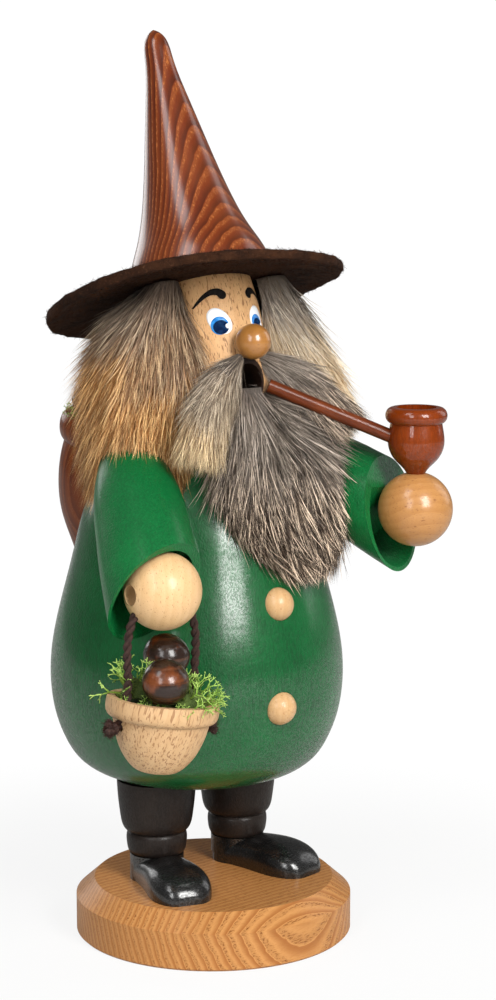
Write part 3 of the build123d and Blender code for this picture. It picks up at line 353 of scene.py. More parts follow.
def undercoat_finish(name, first, second, streak=(0.025, 0.016, 0.010)):
    """The dense coat under the strands: streaks along the flow."""
    f = Finish(name)
    lie = f.node("ShaderNodeUVMap", uv_map="lie")
    stretch = f.node("ShaderNodeVectorMath", (lie, (260, 22, 1)), operation="MULTIPLY")
    hairs = f.noise(stretch, 1.0, 3, 0.7)
    base = f.mix(f.attribute("tone"), first, second)
    base = f.mix((hairs.step(0.35, 0.65) * 0.75).clamp(), base, streak)
    return f.done(base, 0.9, f.bump(hairs, 0.6 * MM))


# ---- CAD nodes kept as they are
def new_group(name, *given):
    """A geometry group and its inputs: the geometry, and those given by label and kind."""
    tree = bpy.data.node_groups.new(name, "GeometryNodeTree")
    for label, kind in (("Geometry", "Geometry"), *given):
        tree.interface.new_socket(label, in_out="INPUT", socket_type="NodeSocket" + kind)
    tree.interface.new_socket("Geometry", in_out="OUTPUT", socket_type="NodeSocketGeometry")
    return tree, {socket.name: Value(tree, socket) for socket in tree.nodes.new("NodeGroupInput").outputs}


def smooth_tree():
    """Joins the frame's loose triangles and shades round faces smooth, leaving edges over 32 degrees sharp."""
    tree, given = new_group("smooth_edges")
    merged = make(tree, "GeometryNodeMergeByDistance", {"Geometry": given["Geometry"], "Distance": 0.000004})
    faces = make(tree, "GeometryNodeSetShadeSmooth", (merged,))
    angle = make(tree, "GeometryNodeInputMeshEdgeAngle")
    less = make(tree, "FunctionNodeCompare", (angle, math.radians(32)), operation="LESS_THAN")
    shaded = {"Geometry": faces, "Shade Smooth": less}
    end(tree, "NodeGroupOutput", make(tree, "GeometryNodeSetShadeSmooth", shaded, domain="EDGE"))
    return tree


smooth_group = smooth_tree()


def dress(material, *names):
    """Gives CAD nodes their material and smooth shading."""
    for name in names:
        piece = nodes[name]
        piece.data.materials.clear()
        piece.data.materials.append(material)
        piece.modifiers.new("smooth", "NODES").node_group = smooth_group


dress(ring_wood(
    "base_ash", (0, 0, 0), (-0.139, 0.99, 0.0), (0.985, 0.139, 0.10), (120, -40), 1.9, (0.30, 0.100, 0.022),
    (0.54, 0.26, 0.085), (0.22, 0.075, 0.016), rough=0.45, coat=0.25, coat_rough=0.25, pores=0.9, wave=0.7,
    depth=0.05,
), "base_plate")
dress(ring_wood(
    "crown_ash", head_place, head_side, head_up, (-11.0, 57.0), 1.5, (0.050, 0.007, 0.001),
    (0.135, 0.021, 0.003), (0.34, 0.100, 0.022), rough=0.42, coat=0.9, coat_rough=0.20, pores=0.85, wave=0.6,
), "hat_crown")
dress(ring_wood(
    "pack_ash", pack_place, (1, 0, 0), pack_up, (-48, -30), 1.9, (0.070, 0.012, 0.001), (0.145, 0.028, 0.003),
    (0.23, 0.060, 0.010), rough=0.42, coat=0.35, coat_rough=0.2, pores=0.5, wave=0.5,
), "backpack")
dress(beech(
    "head_beech", head_place, head_side, head_up, (0.66, 0.40, 0.19), (0.52, 0.27, 0.11), (0.15, 0.050, 0.014),
    rough=0.5, coat=0.0, density=1.0, hole=(mouth_place, -head_back, 4.4),
), "head")
dress(beech(
    "nose_beech", head_place, head_back, head_side, (0.38, 0.17, 0.042), (0.28, 0.11, 0.022), (0.12, 0.04, 0.010),
    rough=0.3, coat=0.8, density=0.35,
), "nose")
dress(beech(
    "hand_left_beech", hand_left_place, UP, (0.9, -0.35, 0.0), (0.47, 0.235, 0.078), (0.34, 0.14, 0.038),
    (0.20, 0.07, 0.02), rough=0.35, coat=0.4, density=0.45, ring=2.2,
), "hand_left")
dress(beech(
    "hand_right_beech", hand_right_place, (1, 0, 0), (0.2, 0.3, 0.9), (0.70, 0.47, 0.25),
    (0.58, 0.34, 0.15), (0.34, 0.15, 0.05), rough=0.42, coat=0.2, density=0.5, ring=2.4, length=0.7,
), "hand_right")
dress(beech(
    "basket_beech", basket_place, basket_x, basket_z + basket_x * 0.18, (0.60, 0.40, 0.22), (0.49, 0.29, 0.135),
    (0.19, 0.075, 0.025), rough=0.5, coat=0.0, density=1.15, ring=3.2, length=0.16, size=0.85,
), "basket")
dress(beech(
    "button_beech", (0, -33, 84), (1, 0, 0), (0.1, 0.2, 1.0), (0.58, 0.37, 0.19), (0.47, 0.27, 0.11),
    (0.34, 0.14, 0.045), rough=0.4, coat=0.2, density=0.4, ring=2.0,
), "button_upper", "button_lower")
dress(beech(
    "bare_beech", (0, 0, 0), (1, 0, 0), UP, (0.66, 0.42, 0.22), (0.50, 0.28, 0.12), (0.22, 0.09, 0.03),
    rough=0.6, coat=0.0, density=0.5,
), "hip_plug", "hat_dowel", "shoulder_dowel_right", "shoulder_dowel_left", "hand_dowel_right", "hand_dowel_left",
    "pipe_dowel", "backpack_dowel")
dress(stained(
    "green_stain", (0, 8.1, 44.3), (1, 0, 0), UP, (0.001, 0.034, 0.008), (0.001, 0.088, 0.020),
    (0.002, 0.140, 0.031), rough=0.42, coat=1.0, speckle=0.30, coat_rough=0.20, lacquer=1.6,
), "coat")
dress(stained(
    "green_sleeve", (0, 0, 100), (1, 0, 0), UP, (0.001, 0.050, 0.012), (0.002, 0.13, 0.030), (0.005, 0.20, 0.045),
    rough=0.45, coat=0.5, speckle=0.45, coat_rough=0.25,
), "sleeve_right", "sleeve_left")
dress(stained(
    "grey_stain", (0, 0, 0), (1, 0, 0), UP, (0.006, 0.0045, 0.004), (0.016, 0.011, 0.009), (0.040, 0.027, 0.020),
    rough=0.45, coat=0.25, speckle=0.25, coat_rough=0.3,
), "leg_right", "leg_left")
dress(stained(
    "black_lacquer", (0, 0, 0), (0.3, 1, 0), (1, -0.3, 0), (0.003,) * 3, (0.006,) * 3, (0.010,) * 3,
    rough=0.34, coat=1.0, speckle=0.6, coat_rough=0.20, lacquer=1.7,
), "boot_right", "boot_left")
dress(stained(
    "brown_stain", (39.2, -40.5, 131.4), (1, 0, 0), UP, (0.065, 0.007, 0.001), (0.17, 0.022, 0.001),
    (0.27, 0.052, 0.003), rough=0.32, coat=0.85, speckle=0.10, coat_rough=0.08,
), "pipe_bowl")
dress(stained(
    "stem_stain", stem_ends[0], UP, (34.0, -21.3, -16.9), (0.040, 0.006, 0.001), (0.115, 0.019, 0.004),
    (0.28, 0.080, 0.022), rough=0.40, coat=0.3, speckle=0.12, coat_rough=0.15, streak=1.3,
), "pipe_stem")
dress(steel_finish("tray_steel", (0.42, 0.41, 0.40), 0.35), "ember_tray", "tray_nail")
dress(cap_finish(), "mushroom_front", "mushroom_back", "backpack_mushroom")


# ---- meshes
def add_object(name, data):
    thing = bpy.data.objects.new(name, data)
    scene.collection.objects.link(thing)
    return thing


def take_mesh(thing):
    """Removes an object and keeps the mesh that its modifiers or curve made."""
    bpy.context.view_layer.update()
    mesh = bpy.data.meshes.new_from_object(thing.evaluated_get(bpy.context.evaluated_depsgraph_get()))
    bpy.data.objects.remove(thing)
    return mesh


def new_mesh(name, points, faces, material=None):
    mesh = bpy.data.meshes.new(name)
    mesh.from_pydata([tuple(p) for p in np.asarray(points, float) * MM], [], faces)
    mesh.validate()
    mesh.polygons.foreach_set("use_smooth", [True] * len(mesh.polygons))
    if material:
        mesh.materials.append(material)
    return add_object(name, mesh)


def face_outward(piece):
    """Turns every face's front outward."""
    work = bmesh.new()
    work.from_mesh(piece.data)
    bmesh.ops.recalc_face_normals(work, faces=work.faces)
    work.to_mesh(piece.data)
    work.free()


def grid_faces(rows, columns, closed=False):
    """Four-sided faces between rows of points; closed joins each row's end to its start."""
    faces = []
    for r in range(rows - 1):
        for c in range(columns if closed else columns - 1):
            d = (c + 1) % columns
            faces.append((r * columns + c, r * columns + d, (r + 1) * columns + d, (r + 1) * columns + c))
    return faces


def set_attribute(piece, name, kind, values):
    layer = piece.data.attributes.new(name, kind, "POINT")
    layer.data.foreach_set("vector" if kind == "FLOAT_VECTOR" else "value", np.asarray(values, np.float32).ravel())


def set_growth(piece, flows, reaches, tones, amounts):
    """What the strands of a bed read at each point: way, length in mm, kind and share of the density."""
    set_attribute(piece, "flow", "FLOAT_VECTOR", flows)
    set_attribute(piece, "reach", "FLOAT", np.asarray(reaches) * MM)
    set_attribute(piece, "tone", "FLOAT", tones)
    set_attribute(piece, "amount", "FLOAT", amounts)


def wobble(points, scale, seed=0):
    """Smooth noise from -1 to 1 at each point, three numbers a point."""
    shift = Vector((seed * 7.3, seed * 3.1, seed * 5.7))
    return np.array([noise.noise_vector(Vector(p) * scale + shift) for p in points])


# ---- strands
def blade(name, bend, side, width, segments=3):
    """A strand one unit long along +Z, tapering to its tip, bending to +X and to +Y."""
    points, along = [], []
    for i in range(segments):
        t = i / segments
        w = width * (1 - t**2.2) * 0.5 * (0.75 + 0.25 * min(1, t * 6))
        x, y = bend * math.sin(t * math.pi * 0.5) ** 2, side * t * t
        points += [(x, y - w, t), (x, y + w, t)]
        along += [t, t]
    points.append((bend, side, 1.0))
    along.append(1.0)
    faces = [(2 * i, 2 * i + 1, 2 * i + 3, 2 * i + 2) for i in range(segments - 1)]
    faces.append((2 * segments - 2, 2 * segments - 1, 2 * segments))
    piece = new_mesh(name, np.array(points) / MM, faces)
    set_attribute(piece, "along", "FLOAT", along)
    return piece


def growth_tree(name, shapes, material):
    """Strands on a bed: they follow its flow and reach, picked at random from shapes."""
    tree, given = new_group(
        name, ("Density", "Float"), ("Seed", "Int"), ("Spread", "Float"), ("Shortest", "Float"), ("Roll", "Float")
    )

    def named(label, kind="FLOAT"):
        return make(tree, "GeometryNodeInputNamedAttribute", {"Name": label}, "Attribute", data_type=kind)

    def chance(low, high, seed):
        return make(tree, "FunctionNodeRandomValue", {2: low, 3: high, "Seed": seed}, 1, data_type="FLOAT")

    sown = {"Mesh": given["Geometry"], "Density": given["Density"] * named("amount"), "Seed": given["Seed"]}
    scatter = make(tree, "GeometryNodeDistributePointsOnFaces", sown, "Points")
    normal = Value(tree, scatter.out.node.outputs["Normal"])
    lie = make(tree, "FunctionNodeAlignRotationToVector", {"Vector": named("flow", "FLOAT_VECTOR")}, axis="Z")
    facing = {"Rotation": lie, "Vector": normal}
    face = make(tree, "FunctionNodeAlignRotationToVector", facing, axis="X", pivot_axis="Z")
    angles = [chance(given[key] * -1, given[key], seed) for key, seed in (("Spread", 3), ("Spread", 4), ("Roll", 5))]
    turn = make(tree, "FunctionNodeEulerToRotation", (make(tree, "ShaderNodeCombineXYZ", angles),))
    rotate = make(tree, "FunctionNodeRotateRotation", {"Rotation": face, "Rotate By": turn}, rotation_space="LOCAL")
    stored = {"Geometry": scatter, "Name": "shade", "Value": chance(0.0, 1.0, 7)}
    shade = make(tree, "GeometryNodeStoreNamedAttribute", stored, data_type="FLOAT", domain="POINT")
    group = bpy.data.collections.new(name + "_shapes")
    for shape in shapes:
        for owner in list(shape.users_collection):
            owner.objects.unlink(shape)
        group.objects.link(shape)
    kinds = {"Collection": group, "Separate Children": True, "Reset Children": True}
    placed = {
        "Points": shade, "Instance": make(tree, "GeometryNodeCollectionInfo", kinds), "Pick Instance": True,
        "Rotation": rotate, "Scale": named("reach") * chance(given["Shortest"], 1.0, 6),
    }
    real = make(tree, "GeometryNodeRealizeInstances", (make(tree, "GeometryNodeInstanceOnPoints", placed),))
    dyed = make(tree, "GeometryNodeSetMaterial", {"Geometry": real, "Material": material})
    joined = make(tree, "GeometryNodeJoinGeometry", (dyed,))
    feed(tree, joined.out.node.inputs[0], given["Geometry"])
    end(tree, "NodeGroupOutput", joined)
    return tree


def grow(bed, name, shapes, material, density, seed, spread, shortest, roll):
    """A plain mesh of the bed with its strands grown. Density is in strands to the square millimetre."""
    tree = growth_tree(name + "_growth", shapes, material)
    modifier = bed.modifiers.new("growth", "NODES")
    modifier.node_group = tree
    sockets = {s.name: s.identifier for s in tree.interface.items_tree if s.in_out == "INPUT"}
    given = {"Density": density * 1e6, "Seed": seed, "Spread": spread, "Shortest": shortest, "Roll": roll}
    for label, value in given.items():
        modifier[sockets[label]] = value
    mesh = take_mesh(bed)
    mesh.name = name
    return add_object(name, mesh)


def bed_mesh(name, points, flows, reaches, tones, amounts, rows, columns, material, closed=False):
    """A grid of points that strands grow on, with the grid's own axes as its map."""
    piece = new_mesh(name, points, grid_faces(rows, columns, closed), material)
    set_growth(piece, flows, reaches, tones, amounts)
    layer = piece.data.uv_layers.new(name="lie")
    index = np.array([loop.vertex_index for loop in piece.data.loops])
    pairs = np.stack([(index % columns) / max(1, columns - 1), (index // columns) / (rows - 1)], 1)
    layer.data.foreach_set("uv", pairs.astype(np.float32).ravel())
    return piece


def behind_stem(place):
    """Fur lies behind the pipe's stem, and may swell out again below it."""
    first, last = stem_ends
    share = (place[0] - first[0]) / (last[0] - first[0])
    if not -0.1 < share < 1.1:
        return place
    y, z = (first + (last - first) * share)[1:]
    below = max(0.0, z - 2.4 - place[2])
    limit = y + 3.0 - below * 0.9
    return np.array([place[0], max(place[1], limit), place[2]])


def clears_mouth(root, tip, radius=3.7):
    """Whether a strand from root to tip stays out of the mouth."""
    for share in np.linspace(0, 1, 9):
        place = root + (tip - root) * share - mouth_place
        out = -np.dot(place, head_back)
        side = math.hypot(np.dot(place, head_up) * mouth_high, np.dot(place, head_side) * mouth_wide)
        if out > -1 and side < radius:
            return False
    return True


def hide_bed(name, outer, inner, across, down, ahead, tone, material, waves, seed, amount=None):
    """A hide under a fur: strands run from inner(u, v) to outer(u, v + ahead)."""
    points, flows, tones, amounts = [], [], [], []
    for v in down:
        for u in across:
            root = behind_stem(inner(u, v))
            tip = behind_stem(outer(u, v + ahead(v)))
            points.append(root)
            flows.append(tip - root)
            tones.append(tone(u, v))
            amounts.append((amount(v) if amount else 1.0) * clears_mouth(root, tip))
    reaches = np.linalg.norm(flows, axis=1)
    flows = units(flows) + wobble(points, 0.16, seed) * waves + wobble(points, 0.16 * 2.6, seed + 3) * waves * 0.6
    flows = units(flows)
    spots = wobble(points, 0.11, seed + 8)[:, 0]
    tones = np.clip(np.asarray(tones) + spots * 0.35, 0, 1)
    return bed_mesh(name, points, flows, reaches, tones, amounts, len(down), len(across), material)


def table(shares):
    """Reads columns of shares by their last column, in straight steps."""
    rows = np.asarray(shares, float)
    heights = rows[:, -1]

    def read(v):
        return [np.interp(v, heights, rows[:, k]) for k in range(rows.shape[1] - 1)]

    return read


def brim_under(x, y):
    """Height of the brim's underside over a place in plan."""
    level = head_place[2] - (y - head_place[1]) * head_up[1] / head_up[2]
    out = math.hypot(x - brim_shift[0], (y - head_place[1] - brim_shift[1]) / head_up[2])
    return level - brim_droop * max(0.0, (out - brim_flat) / (brim_radius - brim_flat)) ** 2


# Hair: an ellipse in plan, wider downward, open at the face. Its rows are width, shift and share of the way down.
face_edge = math.radians(52)
hair_wide, hair_deep, hair_long, hair_top = 42.0, 36.5, 50.0, 178.0
hair_table = table(
    [
        (0.44, 0, -0.25), (0.62, 0, 0), (0.80, 0, 0.24), (0.93, 0.6, 0.45), (1.0, 1, 0.66), (0.99, 1, 0.82),
        (0.90, 0.6, 1.0), (0.86, 0.5, 1.12),
    ]
)


def hair_at(turn, v, share=1.0):
    wide, shift = hair_table(v)
    x = 4.5 * shift + hair_wide * wide * share * math.sin(turn)
    y = -1.0 - hair_deep * wide * share * math.cos(turn)
    return np.array([x, y, hair_top - hair_long * v])


def hair_edge(turn, v, place):
    """Brings the hair's front edge in to the head, further forward lower down."""
    edge = math.radians(57 - 16 * min(1.0, max(0.0, v) * 1.8) + 130 * max(0.0, v - 0.42))
    share = min(1.0, max(0.0, (abs(turn) - face_edge) / 0.5))
    share = share * share * (3 - 2 * share)
    drop = (head_place[2] - place[2]) / head_up[2]
    side = math.copysign(edge, turn)
    near = head_place - head_up * drop + np.array([math.sin(side), -math.cos(side), 0]) * (face_radius + 1.1)
    return near * (1 - share) + place * share


def hair_outer(turn, v):
    return hair_edge(turn, v, hair_at(turn, v, 1.03))


def hair_inner(turn, v):
    place = hair_edge(turn, v, hair_at(turn, v, 0.955 - 0.06 * v))
    place[2] = min(place[2], brim_under(place[0], place[1]) - 0.6)
    return place


def hair_tone(turn, v):
    """Grey at the roots by the face, and the lock's own colour below."""
    if math.sin(turn) > 0:
        return np.interp(v, (0.0, 0.15, 0.35), (0.0, 0.4, 1.0))
    near_face = np.interp(abs(turn), (1.0, 1.4), (0.2, 1.0))
    return np.interp(v, (-0.1, 0.05, 0.2), (0.0, 0.45, 1.0)) * max(near_face, np.interp(v, (0.12, 0.35), (0, 1)))


under_blond = undercoat_finish("blond_undercoat", (0.13, 0.10, 0.08), (0.30, 0.13, 0.045))
under_cream = undercoat_finish("cream_undercoat", (0.16, 0.13, 0.10), (0.50, 0.37, 0.22), (0.16, 0.11, 0.07))
under_grey = undercoat_finish("grey_undercoat", (0.16, 0.13, 0.11), (0.05, 0.033, 0.024))
blond = strand_finish(
    "blond_fur", ((0.12, 0.10, 0.08), (0.27, 0.10, 0.025)), ((0.26, 0.21, 0.165), (0.50, 0.21, 0.050)),
    ((0.52, 0.43, 0.33), (0.84, 0.52, 0.22)), contrast=0.8, pale=0.45,
)
cream = strand_finish(
    "cream_fur", ((0.15, 0.12, 0.10), (0.60, 0.42, 0.24)), ((0.26, 0.22, 0.18), (0.88, 0.66, 0.40)),
    ((0.66, 0.57, 0.46), (0.98, 0.84, 0.60)), contrast=0.35,
)
grizzled = strand_finish(
    "grizzled_fur", ((0.17, 0.13, 0.105), (0.040, 0.024, 0.015)), ((0.28, 0.23, 0.185), (0.080, 0.049, 0.032)),
    ((0.46, 0.39, 0.33), (0.86, 0.67, 0.50)), tip_start=0.42, contrast=0.8, pale=0.34,
)
pale_tips = strand_finish(
    "pale_fur", ((0.20, 0.16, 0.125), (0.30, 0.19, 0.10)), ((0.36, 0.30, 0.24), (0.48, 0.30, 0.14)),
    ((0.62, 0.54, 0.45), (0.92, 0.71, 0.42)), contrast=0.85, pale=0.6,
)

strand_sets = []


def blades(name, width, bend, count=6):
    """A few kinds of one strand, each with a bend and width of its own."""
    strand_sets.append(name)
    pick = random.Random(len(strand_sets) * 11)
    return [
        blade(f"{name}_{k}", bend * pick.uniform(0.1, 1.3), pick.uniform(-0.16, 0.16), width * pick.uniform(0.7, 1.2))
        for k in range(count)
    ]


def fur(name, bed, material, width, density, seed, spread, shortest=0.55, roll=0.7, bend=0.16):
    return grow(bed, name, blades(name, width, bend), material, density * plenty, seed, spread, shortest, roll)


back_turns = np.concatenate(
    [np.linspace(face_edge, face_edge + 0.5, 16), np.linspace(face_edge + 0.54, math.pi + 0.05, 60)]
)
for name, side, material, seed, below in (
    ("hair_right_lock", -1, blond, 11, under_blond), ("hair_left_lock", 1, cream, 12, under_cream),
):
    bed = hide_bed(
        name + "_bed", hair_outer, hair_inner, side * back_turns, np.linspace(-0.2, 0.86, 40), lambda v: 0.34,
        hair_tone, below, 0.20, seed, lambda v: 1.0 + 1.4 * max(0.0, v),
    )
    piece = fur(name, bed, material, 0.0150, 5.5, seed, 0.19)
    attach(piece, "figure")
    if side < 0:
        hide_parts("hair")

# Beard: rows of width, depth, shift and share of the way down
beard_wide, beard_deep, beard_long, beard_top = 27.0, 13.5, 51.0, 153.0
beard_table = table(
    [
        (0.20, 0.30, -0.05, -0.15), (0.33, 0.45, 0, 0), (0.67, 0.85, 0.11, 0.17), (1.0, 1.0, 0.28, 0.37),
        (0.93, 0.92, 0.26, 0.62), (0.69, 0.72, 0.42, 0.80), (0.44, 0.52, 0.52, 0.91), (0.18, 0.30, 0.52, 1.0),
        (0.10, 0.26, 0.52, 1.08),
    ]
)


def beard_at(turn, v, share=1.0):
    wide, deep, shift = beard_table(v)
    x = beard_wide * shift + beard_wide * wide * share * math.sin(turn)
    y = -17.5 - 9.0 * max(0, v) - beard_deep * deep * share * math.cos(turn)
    return np.array([x, y, beard_top - beard_long * v])


beard_bed = hide_bed(
    "beard_bed", beard_at, lambda u, v: beard_at(u, v, 0.72), np.linspace(-1.75, 1.75, 70),
    np.linspace(-0.05, 0.86, 44), lambda v: min(0.30, 1.03 - v),
    lambda u, v: np.interp(v, (0.05, 0.22, 0.45), (0.0, 0.35, 1.0)), under_grey, 0.30, 21,
    lambda v: 1.0 + 1.2 * max(0, v),
)
beard = fur("beard_lock", beard_bed, grizzled, 0.0180, 7.6, 22, 0.26, 0.5, 0.8, 0.22)
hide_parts("beard")
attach(beard, "figure")

# Moustache: each half has a middle line, from the nose outward, with its half widths
moustache_lines = (
    (
        "right", pale_tips, (2.4, 6.6, 8.2, 5.6),
        [(-3.4, -18.5, 163.4), (-11.5, -22.0, 159.0), (-18.5, -24.5, 150.0), (-22.5, -26.0, 137.0)],
    ),
    (
        "left", grizzled, (2.2, 5.0, 6.5, 5.4),
        [(3.4, -18.5, 163.6), (10.0, -22.0, 160.5), (18.5, -26.5, 152.5), (26.0, -30.5, 143.0)],
    ),
)
for name, material, sizes, line in moustache_lines:
    line = np.asarray(line)
    marks = np.linspace(0, 1, len(line))

    def moustache_at(turn, v, share=1.0):
        middle = read_line(v, marks, line)
        if v > 1:
            middle = line[-1] + (line[-1] - line[-2]) * (v - 1) * 3
        way = unit(read_line(min(v, 1) + 0.1, marks, line) - read_line(max(v, 0) - 0.12, marks, line))
        wide = unit(np.cross(way, (0, -1, 0)))
        deep = np.cross(wide, way)
        size = np.interp(v, marks, sizes) * share
        return middle + wide * size * math.sin(turn) + deep * size * 0.62 * math.cos(turn)

    bed = hide_bed(
        f"moustache_{name}_bed", moustache_at, lambda u, v: moustache_at(u, v, 0.62),
        np.linspace(-math.pi, math.pi, 50), np.linspace(0.0, 0.78, 24), lambda v: min(0.42, 1.08 - v),
        lambda u, v: np.interp(v, (0.15, 0.4, 0.7), (0.0, 0.5, 1.0)), under_grey, 0.14, 31,
    )
    piece = fur(f"moustache_{name}_lock", bed, material, 0.0125, 15.0, 33, 0.10, bend=0.12)
    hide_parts("moustache_" + name)
    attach(piece, "figure")


# ---- hat brim
def brim_piece(material):
    """A felt disc, flat in the middle and drooping at the rim, with a slight wave and a rough edge."""
    middle = head_place + head_side * brim_shift[0] + head_back * brim_shift[1]
    around = 220
    profile = [
        (r, -brim_droop * max(0.0, (r - brim_flat) / (brim_radius - brim_flat)) ** 1.6)
        for r in np.linspace(4.7, brim_radius, 30)
    ]
    loops = profile + [(brim_radius + out, rise - brim_droop) for out, rise in ((0.25, 0.6), (0.35, 1.3), (0.25, 2.0))]
    loops += [(r, z + brim_thickness) for r, z in reversed(profile)]
    points = []
    for r, z in loops:
        for k in range(around):
            t = 2 * math.pi * k / around
            wave = (r / brim_radius) ** 2 * (0.7 * math.sin(2 * t + 0.8) + 0.45 * math.sin(3 * t + 2.0))
            points.append(middle + head_side * r * math.cos(t) + head_back * r * math.sin(t) + head_up * (z + wave))
    points = np.array(points)
    outs = np.repeat([min(1.0, r / brim_radius) for r, z in loops], around)
    points = points + wobble(points, 0.9, 5) * 0.16 + wobble(points, 0.28, 6) * 0.3 * outs[:, None]
    faces = grid_faces(len(loops), around, True)
    last = (len(loops) - 1) * around
    faces += [(last + k, last + (k + 1) % around, (k + 1) % around, k) for k in range(around)]
    piece = new_mesh("felt_brim_bed", points, faces, material)
    face_outward(piece)
    count = len(piece.data.vertices)
    random_ways = np.random.default_rng(4).normal(size=(count, 3))
    normals = np.array([v.normal for v in piece.data.vertices])
    ways = random_ways - normals * np.sum(random_ways * normals, 1)[:, None]
    tones = np.clip(wobble(points, 0.2, 9)[:, 0] + 0.4, 0, 1)
    set_growth(piece, units(ways) + normals * 0.16, np.full(count, 1.7), tones, np.ones(count))
    return piece


felt_fibre = strand_finish(
    "felt_fibre", ((0.013, 0.0045, 0.002), (0.034, 0.011, 0.004)), ((0.026, 0.009, 0.004), (0.070, 0.026, 0.010)),
    ((0.050, 0.018, 0.008), (0.14, 0.056, 0.023)), 0.9, 0.03,
)
brim = fur("felt_brim", brim_piece(felt_finish()), felt_fibre, 0.06, 1.3, 5, 0.25, 0.3, 1.5, 0.2)
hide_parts("hat_brim")
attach(brim, "figure")


# ---- eyes and brows, painted on the head
head_curve = np.polyfit((0, 6.12, 18, 29.88, 36), (0.94, 0.985, 1.0, 0.95, 0.82), 4)


def on_face(turn, drop, lift):
    """A place at an angle round the head and a distance down from the brim, lifted off the wood."""
    size = face_radius * np.polyval(head_curve, drop) + lift
    turn = math.radians(turn)
    return head_place + head_side * size * math.sin(turn) - head_back * size * math.cos(turn) - head_up * drop


def painted(name, points, faces, material):
    piece = new_mesh(name, points, faces, material)
    face_outward(piece)
    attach(piece, "figure")


def paint_patch(name, outline, lift, material, rings=7):
    """A thin layer of paint on the face: outline is (turn, drop) pairs round a middle."""
    outline = np.asarray(outline, float)
    middle = outline.mean(0)
    around = len(outline)
    points = [on_face(*middle, lift)]
    for ring in range(1, rings + 1):
        share = ring / rings
        edge = lift * (1 - 0.25 * share**4)
        points += [on_face(*(middle + (p - middle) * share), edge) for p in outline]
    points += [on_face(*p, -0.15) for p in outline]
    faces = [(0, 1 + k, 1 + (k + 1) % around) for k in range(around)]
    for ring in range(rings):
        a, b = 1 + ring * around, 1 + (ring + 1) * around
        faces += [(a + k, b + k, b + (k + 1) % around, a + (k + 1) % around) for k in range(around)]
    painted(name, points, faces, material)


def ellipse(turn, drop, wide, high, lean=0.0, steps=48):
    pairs = []
    for k in range(steps):
        a = 2 * math.pi * k / steps
        x, y = wide * math.cos(a), high * math.sin(a)
        pairs.append((turn + math.degrees((x + lean * y) / face_radius), drop + y))
    return pairs


def brow_patch(name, rows, side, shift, material):
    """A tapering stroke through (turn, drop, half width) rows, as a strip across its own width."""
    rows = np.asarray(rows, float)
    line = read_line(np.linspace(0, 1, 22), np.linspace(0, 1, len(rows)), rows)
    for _ in range(2):
        line[1:-1] = (line[:-2] + line[1:-1] * 2 + line[2:]) / 4
    flat = np.stack([np.radians(line[:, 0]) * face_radius, line[:, 1]], 1)
    ways = units(np.gradient(flat, axis=0))
    across = np.stack([-ways[:, 1], ways[:, 0]], 1)
    upper = flat + across * line[:, 2:]
    lower = flat - across * line[:, 2:]
    cap = [flat[-1] + turned(ways[-1], across[-1], a) * line[-1, 2] for a in np.linspace(1.3, -1.3, 9)]

    def on_brow(place, lift):
        return on_face(side * math.degrees(place[0] / face_radius) + shift, place[1], lift)

    shares = np.linspace(0, 1, 5)
    points = [
        on_brow(first * (1 - s) + second * s, 0.16 - 0.10 * abs(2 * s - 1) ** 3)
        for first, second in zip(upper, lower) for s in shares
    ]
    faces = grid_faces(len(line), len(shares))
    tip = len(points)
    points += [on_brow(flat[-1], 0.16)] + [on_brow(place, 0.07) for place in cap]
    last = range(tip - len(shares), tip)
    ring = [last[0], *range(tip + 1, tip + 1 + len(cap)), last[-1]]
    faces += [(tip, ring[k], ring[k + 1]) for k in range(len(ring) - 1)]
    faces += [(tip, last[k + 1], last[k]) for k in range(len(last) - 1)]
    painted(name, points, faces, material)


white = paint_finish("eye_white", (0.86, 0.86, 0.88), (0.76, 0.78, 0.84))
blue = paint_finish("iris_blue", (0.012, 0.16, 0.52), (0.03, 0.30, 0.72))
navy = paint_finish("pupil_navy", (0.004, 0.012, 0.045), (0.010, 0.035, 0.10), 0.8, 0.0)
black = paint_finish("brow_black", (0.006, 0.005, 0.005), (0.014, 0.012, 0.011), 0.7, 0.05)
for label, turn, drop, lean in (("right", -24.0, 13.0, 0.28), ("left", 28.3, 12.8, -0.1)):
    paint_patch("eye_white_" + label, ellipse(turn, drop, 3.15, 3.75, lean), 0.10, white)
    paint_patch("iris_" + label, ellipse(turn - 0.6, drop + 1.25, 2.5, 2.5), 0.17, blue)
    paint_patch("pupil_" + label, ellipse(turn + 0.4, drop + 1.75, 2.15, 1.95), 0.22, navy)
    paint_patch("glint_" + label, ellipse(turn + 8.2, drop + 1.65, 0.72, 0.72, steps=20), 0.28, white, 3)
brow_rows = [
    (50.6, 8.3, 0.22), (43.6, 6.9, 0.45), (35.8, 5.6, 0.62), (27, 4.75, 0.82), (19, 5.0, 1.05), (15.6, 5.9, 1.28)
]
brow_patch("brow_right", brow_rows, -1, 0, black)
brow_patch("brow_left", brow_rows, 1, 6.5, black)


